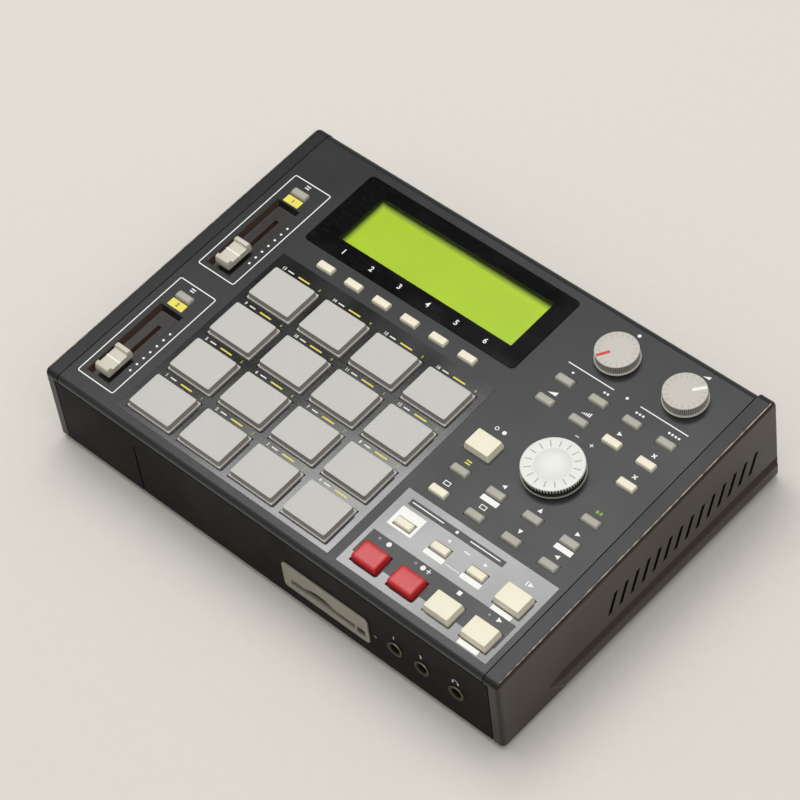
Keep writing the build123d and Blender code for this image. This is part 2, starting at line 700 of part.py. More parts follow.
def knobs():
    """Two knobs with pointer grooves and the data dial, each on its shaft, and their controls below."""
    pot_foot = -11.5
    knob_shaft_foot = -9.0
    dial_shaft_foot = -5.9
    pointer = (1.0, 8.0)
    pointer_depth = 0.4
    for name, centre in KNOB_CENTRES.items():
        angle = math.radians(KNOB_ANGLES[name])
        pointer_reach = KNOB_RADIUS - pointer[1] / 2 - 0.6
        place = (centre[0] + pointer_reach * math.sin(angle), centre[1] + pointer_reach * math.cos(angle))
        with BuildPart() as knob:
            with BuildSketch(panel_at(KNOB_LIFT)):
                with Locations(centre):
                    Circle(KNOB_RADIUS)
            extrude(amount=KNOB_TOP - KNOB_LIFT)
            chamfer(knob.faces().sort_by(NORMAL)[-1].edges(), 0.5)
            with BuildSketch(panel_at(knob_shaft_foot)):
                with Locations(centre):
                    Circle(SHAFT_RADIUS)
            extrude(amount=KNOB_LIFT - knob_shaft_foot)
            with BuildSketch(panel_at(KNOB_TOP)):
                with Locations(Location((place[0], place[1], 0), (0, 0, -KNOB_ANGLES[name]))):
                    Rectangle(*pointer)
            extrude(amount=-pointer_depth, mode=Mode.SUBTRACT)
        save(knob, name)
    dish_depth = 1.0
    with BuildPart() as dial:
        with BuildSketch(panel_at(KNOB_LIFT)):
            with Locations(DIAL_CENTRE):
                Circle(DIAL_RADIUS)
        extrude(amount=DIAL_TOP - KNOB_LIFT)
        chamfer(dial.faces().sort_by(NORMAL)[-1].edges(), 0.6)
        with BuildSketch(panel_at(DIAL_TOP)):
            with Locations(DIAL_CENTRE):
                Circle(DIAL_DISH)
        extrude(amount=-dish_depth, taper=40.0, mode=Mode.SUBTRACT)
        with BuildSketch(panel_at(dial_shaft_foot)):
            with Locations(DIAL_CENTRE):
                Circle(SHAFT_RADIUS)
        extrude(amount=KNOB_LIFT - dial_shaft_foot)
    save(dial, "data_dial")
    pot_size = (17.0, 15.0)
    encoder_size = (14.0, 13.0)
    encoder_top = -2.8
    with BuildPart() as controls:
        with BuildSketch(panel_at(pot_foot)):
            with Locations(*KNOB_CENTRES.values()):
                Rectangle(*pot_size)
        extrude(amount=encoder_top - pot_foot)
        with BuildSketch(panel_at(BOARD_TOP)):
            with Locations(DIAL_CENTRE):
                Rectangle(*encoder_size)
        extrude(amount=encoder_top - BOARD_TOP)
        with BuildSketch(panel_at(encoder_top)):
            with Locations(*KNOB_CENTRES.values()):
                Circle(SHAFT_RADIUS + SHAFT_FIT)
        extrude(amount=knob_shaft_foot - encoder_top - JACK_FIT, mode=Mode.SUBTRACT)
        with BuildSketch(panel_at(encoder_top)):
            with Locations(DIAL_CENTRE):
                Circle(SHAFT_RADIUS + SHAFT_FIT)
        extrude(amount=BOARD_TOP - encoder_top, mode=Mode.SUBTRACT)
    save(controls, "rotary_controls")


def card_slot():
    """The memory card bezel, its reader behind the front plate and the eject button."""
    plug_depth = 1.6
    notch_radius = 23.0
    notch_rise = 2.8
    notch_x = 39.8
    reader_size = (49.0, 10.0)
    reader_centre = (42.2, 20.75)
    reader_depth = 50.9
    reader_slot_depth = 44.9
    gap = 0.3
    eject = EJECT_CENTRE
    slot_top = CARD_CENTRE[1] + CARD_SLOT[1] / 2
    with BuildPart() as bezel:
        with BuildSketch(FRONT):
            with Locations(BEZEL_CENTRE):
                RectangleRounded(*BEZEL_SIZE, 2.8)
        extrude(amount=JACK_PROUD)
        with BuildSketch(FRONT):
            with Locations(BEZEL_CENTRE):
                Rectangle(*BEZEL_PLUG)
        extrude(amount=-plug_depth)
        with BuildSketch(FRONT.offset(JACK_PROUD)):
            with Locations(MOUTH_CENTRE):
                Rectangle(*CARD_MOUTH)
        with BuildSketch(FRONT.offset(-plug_depth)):
            with Locations(CARD_CENTRE):
                Rectangle(*CARD_SLOT)
        loft(mode=Mode.SUBTRACT)
        with BuildSketch(FRONT.offset(JACK_PROUD)):
            with Locations((notch_x, slot_top + notch_rise - notch_radius)):
                Circle(notch_radius)
            with Locations((notch_x, slot_top)):
                Rectangle(2 * notch_radius, notch_radius, align=(Align.CENTER, Align.MIN), mode=Mode.INTERSECT)
        extrude(amount=-plug_depth - JACK_PROUD, mode=Mode.SUBTRACT)
        with BuildSketch(FRONT.offset(JACK_PROUD)):
            with Locations(eject):
                Rectangle(*grown(EJECT_SIZE, EJECT_GAP))
        extrude(amount=-plug_depth - JACK_PROUD, mode=Mode.SUBTRACT)
    save(bezel, "card_bezel")
    with BuildPart() as reader:
        with BuildSketch(FRONT.offset(-plug_depth - gap)):
            with Locations(reader_centre):
                Rectangle(*reader_size)
        extrude(amount=-reader_depth)
        with BuildSketch(FRONT.offset(-plug_depth - gap)):
            with Locations(CARD_CENTRE):
                Rectangle(*CARD_SLOT)
        extrude(amount=-reader_slot_depth, mode=Mode.SUBTRACT)
    save(reader, "card_reader")
    recess = 1.2
    button_length = 16.0
    with BuildPart() as button:
        with BuildSketch(FRONT.offset(JACK_PROUD - recess)):
            with Locations(eject):
                Rectangle(*EJECT_SIZE)
        extrude(amount=-button_length)
    save(button, "eject_button")


def jacks():
    """Seven quarter inch jack sockets, three at the front and four at the rear, with ring nuts."""
    rows = (
        (FRONT, [(x, FRONT_JACK_Z) for x in FRONT_JACKS]),
        (REAR, [(-x, REAR_Z) for x in REAR_JACKS]),
    )
    body_gap = 0.2
    body_length = 27.0
    with BuildPart() as sockets:
        for face, places in rows:
            with BuildSketch(face):
                with Locations(*places):
                    Circle(JACK_RING)
            extrude(amount=JACK_PROUD)
            with BuildSketch(face):
                with Locations(*places):
                    Circle(JACK_BUSH)
            extrude(amount=-WALL - body_gap)
            with BuildSketch(face.offset(-WALL - body_gap)):
                with Locations(*places):
                    Rectangle(*JACK_BODY)
            extrude(amount=-body_length)
            with BuildSketch(face.offset(JACK_PROUD)):
                with Locations(*places):
                    Circle(JACK_BORE)
            extrude(amount=-JACK_DEPTH, mode=Mode.SUBTRACT)
    save(sockets, "audio_jacks")


def midi_sockets():
    """Two round five pole sockets: an insulated core inside a shell, on a square body."""
    shell_wall = 1.0
    core_radius = 6.4
    ring_depth = 8.0
    pin_radius = 0.8
    pin_circle = 3.75
    pin_angles = (0, 45, 90, 135, 180)
    body = (19.0, 19.0)
    body_length = 12.0
    body_gap = 0.2
    places = [(-x, REAR_Z) for x in MIDI_PLACES]
    pins = [
        (x + pin_circle * math.cos(math.radians(a)), z - pin_circle * math.sin(math.radians(a)))
        for x, z in places
        for a in pin_angles
    ]
    with BuildPart() as sockets:
        with BuildSketch(REAR):
            with Locations(*places):
                Circle(MIDI_RADIUS)
        extrude(amount=-WALL - body_gap)
        with BuildSketch(REAR.offset(-WALL - body_gap)):
            with Locations(*places):
                Rectangle(*body)
        extrude(amount=-body_length)
        with BuildSketch(REAR):
            with Locations(*places):
                Circle(MIDI_RADIUS - shell_wall)
                Circle(core_radius, mode=Mode.SUBTRACT)
            with Locations(*pins):
                Circle(pin_radius)
        extrude(amount=-ring_depth, mode=Mode.SUBTRACT)
    save(sockets, "midi_sockets")


def electronics():
    """The main board with its larger components, and the power supply on its own board."""
    board_z = 14.0
    board = (180.0, 140.0)
    board_centre = (60.0, 0.0)
    chips = {
        (30.0, 20.0): (28.0, 28.0, 3.0),
        (80.0, 25.0): (20.0, 20.0, 2.4),
        (110.0, -20.0): (24.0, 12.0, 2.4),
        (20.0, -30.0): (34.0, 12.0, 4.0),
        (70.0, -35.0): (16.0, 16.0, 8.0),
    }
    with BuildPart() as main_board:
        with BuildSketch(Plane.XY.offset(board_z)):
            with Locations(board_centre):
                Rectangle(*board)
        extrude(amount=BOARD)
        for place, (width, length, height) in chips.items():
            with BuildSketch(Plane.XY.offset(board_z + BOARD)):
                with Locations(place):
                    Rectangle(width, length)
            extrude(amount=height)
    save(main_board, "main_board")
    supply_centre = (-105.0, 40.0)
    supply_board = (82.0, 78.0)
    supply_z = 9.0
    transformer = (30.0, 26.0, 22.0)
    capacitor_radius = 9.0
    capacitor_height = 25.0
    heat_sink = (4.0, 50.0, 24.0)
    stand = 4.0
    with BuildPart() as supply:
        with BuildSketch(Plane.XY.offset(supply_z)):
            with Locations(supply_centre):
                Rectangle(*supply_board)
        extrude(amount=BOARD)
        with BuildSketch(Plane.XY.offset(supply_z + BOARD)):
            with Locations((supply_centre[0] + 8.0, supply_centre[1] - 12.0)):
                Rectangle(*transformer[:2])
        extrude(amount=transformer[2])
        with BuildSketch(Plane.XY.offset(supply_z + BOARD)):
            with Locations((supply_centre[0] - 24.0, supply_centre[1] - 6.0)):
                Circle(capacitor_radius)
        extrude(amount=capacitor_height)
        with BuildSketch(Plane.XY.offset(supply_z + BOARD)):
            with Locations((supply_centre[0] + 34.0, supply_centre[1])):
                Rectangle(*heat_sink[:2])
        extrude(amount=heat_sink[2])
        with BuildSketch(Plane.XY.offset(FOOT_HEIGHT + PAN_SHEET)):
            with Locations(supply_centre):
                with GridLocations(supply_board[0] - 12.0, supply_board[1] - 12.0, 2, 2):
                    Circle(stand)
        extrude(amount=supply_z - FOOT_HEIGHT - PAN_SHEET)
    save(supply, "power_supply")


def feet_and_screws():
    """Four rubber feet and the six screws that hold the pan to the cheeks."""
    foot_radius = 9.0
    foot_pitch = (270.0, 176.0)
    with BuildPart() as feet:
        with BuildSketch():
            with GridLocations(*foot_pitch, 2, 2):
                Circle(foot_radius)
        extrude(amount=FOOT_HEIGHT)
        chamfer(feet.edges().group_by(Axis.Z)[0], 0.8)
    save(feet, "feet")
    head_radius = 3.0
    head_height = 1.8
    shank = 11.0
    with BuildPart() as screws:
        with BuildSketch(Plane.XY.offset(FOOT_HEIGHT - head_height)):
            with Locations(*[(x, y) for x in (-SCREW_X, SCREW_X) for y in BOSS_PLACES]):
                Circle(head_radius)
        extrude(amount=head_height)
        with BuildSketch(Plane.XY.offset(FOOT_HEIGHT)):
            with Locations(*[(x, y) for x in (-SCREW_X, SCREW_X) for y in BOSS_PLACES]):
                Circle(SCREW_RADIUS)
        extrude(amount=shank)
    save(screws, "case_screws")


def main():
    """Build every piece and write it to the parts folder."""
    os.makedirs("parts", exist_ok=True)
    top_panel()
    cheek("right_cheek", 1)
    cheek("left_cheek", -1)
    chassis_pan()
    front_panel()
    rear_panel()
    mains_inlet()
    display()
    pads()
    keys()
    boards()
    faders()
    knobs()
    card_slot()
    jacks()
    midi_sockets()
    electronics()
    feet_and_screws()


if __name__ == "__main__":
    main()
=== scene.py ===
"""Looks of a tabletop audio sampler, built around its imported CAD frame.

Lengths are millimetres and angles are degrees, unless a name says otherwise. Places on the sloping
panel are (x, v, h): x to the right, v up the slope from the front edge and h above the panel's face.
"""

import json
import logging
import math
from dataclasses import dataclass, field
from enum import Enum
from typing import Iterable, Optional, Sequence, Union

import bmesh
import bpy
from mathutils import Matrix, Vector

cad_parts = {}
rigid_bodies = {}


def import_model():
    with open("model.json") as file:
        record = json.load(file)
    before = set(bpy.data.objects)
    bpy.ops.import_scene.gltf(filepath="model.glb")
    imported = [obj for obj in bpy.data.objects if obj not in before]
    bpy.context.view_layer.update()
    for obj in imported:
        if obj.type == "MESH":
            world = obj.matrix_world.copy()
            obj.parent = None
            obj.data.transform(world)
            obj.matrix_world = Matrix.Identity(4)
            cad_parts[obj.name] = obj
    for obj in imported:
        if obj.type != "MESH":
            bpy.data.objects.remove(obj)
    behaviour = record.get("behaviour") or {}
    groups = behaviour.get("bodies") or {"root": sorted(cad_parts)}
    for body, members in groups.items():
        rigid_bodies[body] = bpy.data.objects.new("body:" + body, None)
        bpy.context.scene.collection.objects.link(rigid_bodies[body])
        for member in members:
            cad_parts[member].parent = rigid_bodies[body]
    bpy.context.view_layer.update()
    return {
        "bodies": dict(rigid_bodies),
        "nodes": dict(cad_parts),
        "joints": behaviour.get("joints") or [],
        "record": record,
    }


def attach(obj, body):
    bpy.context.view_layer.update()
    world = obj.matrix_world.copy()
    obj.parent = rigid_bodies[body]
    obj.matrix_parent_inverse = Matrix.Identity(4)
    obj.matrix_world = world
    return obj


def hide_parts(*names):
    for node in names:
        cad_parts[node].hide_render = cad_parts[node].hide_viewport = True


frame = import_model()

LOG = logging.getLogger("sampler")
MM = 0.001
CASE_BODY = "case"
HALF_DEPTH = 112.5

Colour = tuple[int, int, int]
Pair = tuple[float, float]
Triple = tuple[float, float, float]
Light = tuple[float, float, float, float]
Box = tuple[float, float, float, float]
Section = tuple[float, float, float, float]
Places = tuple[float, ...]
Pairs = tuple[Pair, ...]
Sections = tuple[Section, ...]
Ring = list[Vector]
Material = bpy.types.Material
Node = bpy.types.Node
Tree = bpy.types.NodeTree
Socket = bpy.types.NodeSocket


def linear(colour: Colour) -> Light:
    """Turn a display colour into linear light.

    Args:
        colour: Red, green and blue, from 0 to 255.

    Returns:
        Linear red, green and blue, with an alpha of 1.
    """
    shares = [value / 255 for value in colour]
    light = [s / 12.92 if s <= 0.04045 else ((s + 0.055) / 1.055) ** 2.4 for s in shares]
    return (light[0], light[1], light[2], 1.0)


def scaled(colour: Colour, factor: float) -> Light:
    """A display colour in linear light, made darker or lighter by a factor."""
    red, green, blue, alpha = linear(colour)
    return (min(red * factor, 1.0), min(green * factor, 1.0), min(blue * factor, 1.0), alpha)


@dataclass(frozen=True)
class PanelPlane:
    """The plane of the sloping panel's face."""

    front_y: float = -HALF_DEPTH
    front_z: float = 59.5

    def slope(self) -> float:
        """The slope in radians, from the direction in which the first pad is pressed."""
        press = next(joint for joint in frame["joints"] if joint["name"] == "pad_1_press")
        return math.atan2(press["axis"][1], -press["axis"][2])

    def at(self, x: float = 0.0, v: float = 0.0, h: float = 0.0, turn: float = 0.0) -> Matrix:
        """Place local millimetres on the panel.

        Args:
            x: Place across the panel.
            v: Place up the slope.
            h: Height above the face.
            turn: Turn about the panel's normal, clockwise seen from above.

        Returns:
            The matrix from local millimetres to the frame's metres.
        """
        tilt = Matrix.Rotation(self.slope(), 4, "X")
        origin = Matrix.Translation((0.0, self.front_y, self.front_z))
        spin = Matrix.Rotation(-math.radians(turn), 4, "Z")
        return Matrix.Scale(MM, 4) @ origin @ tilt @ Matrix.Translation((x, v, h)) @ spin


PANEL = PanelPlane()


class Face(Enum):
    """An upright face of the case, by the direction that it looks in along Y."""

    FRONT = -1
    REAR = 1

    def at(self, x: float, z: float) -> Matrix:
        """Place local millimetres (across, up, outwards) on this face.

        Args:
            x: Place across the case, in the frame's X.
            z: Height above the table.

        Returns:
            The matrix from local millimetres to the frame's metres.
        """
        sign = self.value
        turned = Matrix(((-sign, 0, 0, x), (0, 0, sign, sign * HALF_DEPTH), (0, 1, 0, z), (0, 0, 0, 1)))
        return Matrix.Scale(MM, 4) @ turned


def rounded(size: Pair, corner: float, height: float, centre: Pair = (0.0, 0.0), steps: int = 4) -> Ring:
    """The points of a rounded rectangle.

    Args:
        size: Width and length.
        corner: Corner radius.
        height: Height of the ring.
        centre: Place of its middle.
        steps: Points less one in each corner.

    Returns:
        The points, anticlockwise from above.
    """
    reach_x = size[0] / 2 - corner
    reach_y = size[1] / 2 - corner
    ring = []
    for quarter, (side_x, side_y) in enumerate(((1, 1), (-1, 1), (-1, -1), (1, -1))):
        for step in range(steps + 1):
            angle = math.pi / 2 * (quarter + step / steps)
            x = centre[0] + side_x * reach_x + corner * math.cos(angle)
            y = centre[1] + side_y * reach_y + corner * math.sin(angle)
            ring.append(Vector((x, y, height)))
    return ring


def circle(radius: float, height: float, sides: int = 64, centre: Pair = (0.0, 0.0)) -> Ring:
    """The points of a level circle.

    Args:
        radius: Its radius.
        height: Height of the ring.
        sides: Number of points.
        centre: Place of its middle.

    Returns:
        The points, anticlockwise from above.
    """
    angles = [math.tau * side / sides for side in range(sides)]
    return [
        Vector((centre[0] + radius * math.cos(a), centre[1] + radius * math.sin(a), height)) for a in angles
    ]


def run(first: float, pitch: float, count: int) -> list[float]:
    """Evenly spaced places, from the first one on."""
    return [first + pitch * step for step in range(count)]


def box_around(centre: Pair, size: Pair) -> Box:
    """The box (low x, low v, high x, high v) of a size about its centre."""
    half_x, half_v = size[0] / 2, size[1] / 2
    return (centre[0] - half_x, centre[1] - half_v, centre[0] + half_x, centre[1] + half_v)


class Shape:
    """A mesh in the making, in local millimetres."""

    def __init__(self) -> None:
        """Start an empty mesh."""
        self.mesh = bmesh.new()

    def loft(self, rings: Sequence[Ring], closed: bool = False) -> None:
        """Skin rings of equal length.

        Args:
            rings: The rings in order.
            closed: Join the last ring to the first, in place of capping both ends.
        """
        layers = [[self.mesh.verts.new(point) for point in ring] for ring in rings]
        pairs = list(zip(layers, layers[1:]))
        if closed:
            pairs.append((layers[-1], layers[0]))
        else:
            self.mesh.faces.new(list(reversed(layers[0])))
            self.mesh.faces.new(layers[-1])
        for low, high in pairs:
            for here in range(len(low)):
                there = (here + 1) % len(low)
                self.mesh.faces.new((low[here], low[there], high[there], high[here]))

    def lathe(self, profile: Iterable[Pair], sides: int = 96, closed: bool = False) -> None:
        """Turn a profile of (radius, height) points about the local Z axis."""
        self.loft([circle(radius, height, sides) for radius, height in profile], closed)

    def cap(self, size: Pair, sections: Iterable[Section], centre: Pair = (0.0, 0.0)) -> None:
        """Loft a moulded cap.

        Args:
            size: Width and length at the foot.
            sections: Inset across, inset along, corner radius and height, from the foot upwards.
            centre: Place of the cap's middle.
        """
        rings = []
        for inset_x, inset_v, corner, height in sections:
            width, length = size[0] - 2 * inset_x, size[1] - 2 * inset_v
            rings.append(rounded((width, length), corner, height, centre))
        self.loft(rings)

    def plate(self, outer: Box, low: float, high: float, holes: Sequence[Box] = ()) -> None:
        """Make a flat rectangular plate with rectangular holes.

        Args:
            outer: The plate's box.
            low: Height of its underside.
            high: Height of its top.
            holes: Boxes to leave open, which may cross the plate's edge.
        """
        lines = []
        for axis in (0, 1):
            edges = {outer[axis], outer[axis + 2]}
            edges |= {edge for hole in holes for edge in (hole[axis], hole[axis + 2])}
            lines.append(sorted(edge for edge in edges if outer[axis] <= edge <= outer[axis + 2]))
        columns, rows = len(lines[0]) - 1, len(lines[1]) - 1

        def filled(column: int, row: int) -> bool:
            """Whether a cell lies on the plate and outside every hole."""
            if not (0 <= column < columns and 0 <= row < rows):
                return False
            x = (lines[0][column] + lines[0][column + 1]) / 2
            v = (lines[1][row] + lines[1][row + 1]) / 2
            return not any(h[0] < x < h[2] and h[1] < v < h[3] for h in holes)

        corners = {}

        def corner(column: int, row: int, height: float) -> bmesh.types.BMVert:
            """The vertex at a crossing of the lines, made once."""
            key = (column, row, height)
            if key not in corners:
                corners[key] = self.mesh.verts.new((lines[0][column], lines[1][row], height))
            return corners[key]

        turns = ((0, 0), (1, 0), (1, 1), (0, 1))
        sides = (((0, -1), 0, 1), ((1, 0), 1, 2), ((0, 1), 2, 3), ((-1, 0), 3, 0))
        for column in range(columns):
            for row in range(rows):
                if not filled(column, row):
                    continue
                top = [corner(column + a, row + b, high) for a, b in turns]
                foot = [corner(column + a, row + b, low) for a, b in turns]
                self.mesh.faces.new(top)
                self.mesh.faces.new(list(reversed(foot)))
                for (step_x, step_v), start, end in sides:
                    if not filled(column + step_x, row + step_v):
                        self.mesh.faces.new((foot[start], foot[end], top[end], top[start]))

    def prism(self, outline: Iterable[Pair], low: float, high: float) -> None:
        """Stand a flat outline up between two heights."""
        points = list(outline)
        self.loft([[Vector((x, y, height)) for x, y in points] for height in (low, high)])

    def hoop(self, outer: Ring, inner: Ring, thickness: float) -> None:
        """Make a flat closed frame between two rings of equal length, from their height upwards."""
        lift = Vector((0.0, 0.0, thickness))
        self.loft([outer, [p + lift for p in outer], [p + lift for p in inner], inner], closed=True)

    def words(self, text: str, height: float, place: Pair, low: float, high: float) -> None:
        """Add plain figures as thin solids.

        Args:
            text: What to write.
            height: Height of a figure.
            place: Where the middle of the text goes.
            low: Level of the underside.
            high: Level of the top.
        """
        weight = 0.018
        half_depth = 0.5
        curve_steps = 3
        curve = bpy.data.curves.new("figures", "FONT")
        curve.body = text
        curve.offset = weight
        curve.resolution_u = curve_steps
        curve.extrude = half_depth
        curve.align_x = "CENTER"
        curve.align_y = "CENTER"
        holder = bpy.data.objects.new("figures", curve)
        bpy.context.scene.collection.objects.link(holder)
        graph = bpy.context.evaluated_depsgraph_get()
        flat = bpy.data.meshes.new_from_object(holder.evaluated_get(graph))
        levels = [vertex.co.y for vertex in flat.vertices]
        scale = height / (max(levels) - min(levels))
        middle = Vector((place[0], place[1], (low + high) / 2))
        flat.transform(Matrix.Translation(middle) @ Matrix.Diagonal((scale, scale, high - low, 1.0)))
        self.mesh.from_mesh(flat)
        bpy.data.objects.remove(holder)
        bpy.data.curves.remove(curve)
        bpy.data.meshes.remove(flat)

    def absorb(self, other: "Shape") -> None:
        """Take another shape's mesh into this one, and end the other."""
        data = bpy.data.meshes.new("joined")
        other.mesh.to_mesh(data)
        other.mesh.free()
        self.mesh.from_mesh(data)
        bpy.data.meshes.remove(data)

    def move(self, place: Matrix) -> "Shape":
        """Apply a place to all that has been made so far."""
        self.mesh.transform(place)
        return self

    def build(
        self,
        name: str,
        body: str,
        material: Material,
        slot: Optional[str] = None,
        replaces: Sequence[str] = (),
        crease: float = 38.0,
    ) -> bpy.types.Object:
        """Turn the mesh into a finished piece that rides on a body.

        Args:
            name: Name of the piece.
            body: CAD body that it moves with.
            material: Its material.
            slot: Name of a material slot of the record; not used.
            replaces: CAD nodes that it stands for.
            crease: Angle above which an edge stays sharp.

        Returns:
            The piece's object, at the origin.
        """
        merge_metres = 1e-7
        bmesh.ops.remove_doubles(self.mesh, verts=self.mesh.verts, dist=merge_metres)
        bmesh.ops.recalc_face_normals(self.mesh, faces=self.mesh.faces)
        for face in self.mesh.faces:
            face.smooth = True
        for edge in self.mesh.edges:
            edge.smooth = len(edge.link_faces) == 2 and edge.calc_face_angle() < math.radians(crease)
        data = bpy.data.meshes.new(name)
        self.mesh.to_mesh(data)
        self.mesh.free()
        data.materials.append(material)
        piece = bpy.data.objects.new(name, data)
        bpy.context.scene.collection.objects.link(piece)
        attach(piece, body)
        if replaces:
            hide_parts(*replaces)
        LOG.info("made %s on %s", name, body)
        return piece


class NodeMaker:
    """Adds and links nodes in one node tree."""

    def __init__(self, tree: Tree) -> None:
        """Work on a tree."""
        self.tree = tree

    def add(
        self, kind: str, inputs: Optional[dict[Union[str, int], object]] = None, **settings: object
    ) -> Node:
        """Add a node.

        Args:
            kind: Its type name.
            inputs: Sockets to link and values to set, by input name or number.
            settings: Properties of the node.

        Returns:
            The new node.
        """
        node = self.tree.nodes.new(kind)
        for name, value in settings.items():
            setattr(node, name, value)
        for key, value in (inputs or {}).items():
            if isinstance(value, Socket):
                self.link(value, node.inputs[key])
            else:
                node.inputs[key].default_value = value
        return node

    def link(self, source: Socket, target: Socket) -> None:
        """Join two sockets."""
        self.tree.links.new(source, target)

    def math(self, operation: str, first: object, second: object = 0.0, clamp: bool = False) -> Socket:
        """The result of a Math node on two sockets or numbers."""
        inputs = {0: first, 1: second}
        return self.add("ShaderNodeMath", inputs, operation=operation, use_clamp=clamp).outputs[0]

    def mix(self, share: object, first: object, second: object) -> Socket:
        """A colour between two, by a share."""
        inputs = {0: share, 6: first, 7: second}
        return self.add("ShaderNodeMix", inputs, data_type="RGBA").outputs[2]

    def blend(self, share: object, first: object, second: object) -> Socket:
        """A number between two, by a share."""
        return self.add("ShaderNodeMix", {0: share, 2: first, 3: second}, data_type="FLOAT").outputs[0]

    def spread(self, value: object, from_range: Pair, to_range: Pair = (0.0, 1.0)) -> Socket:
        """A number carried from one range to another, and held inside it."""
        inputs = {0: value, 1: from_range[0], 2: from_range[1], 3: to_range[0], 4: to_range[1]}
        return self.add("ShaderNodeMapRange", inputs).outputs[0]

    def noise(self, vector: Socket, scale: object, detail: float = 3.0) -> Socket:
        """The strength of a noise texture."""
        inputs = {"Vector": vector, "Scale": scale, "Detail": detail}
        return self.add("ShaderNodeTexNoise", inputs).outputs[0]


def open_material(name: str) -> tuple[Material, NodeMaker, Node]:
    """Start a material with nodes.

    Args:
        name: Name of the material.

    Returns:
        The material, a node maker for it and its Principled node.
    """
    material = bpy.data.materials.new(name)
    material.use_nodes = True
    return material, NodeMaker(material.node_tree), material.node_tree.nodes["Principled BSDF"]


class Effect(Enum):
    """A surface effect that several finishes share, as a shader node group."""

    GRAIN = "Moulded grain"
    SMUDGE = "Handling smudges"
    WEAR = "Edge wear"
    DUST = "Settled dust"
    SCRATCH = "Hairline scratches"
    FLANK = "Shaded flanks"
    RUB = "Rubbed roll"


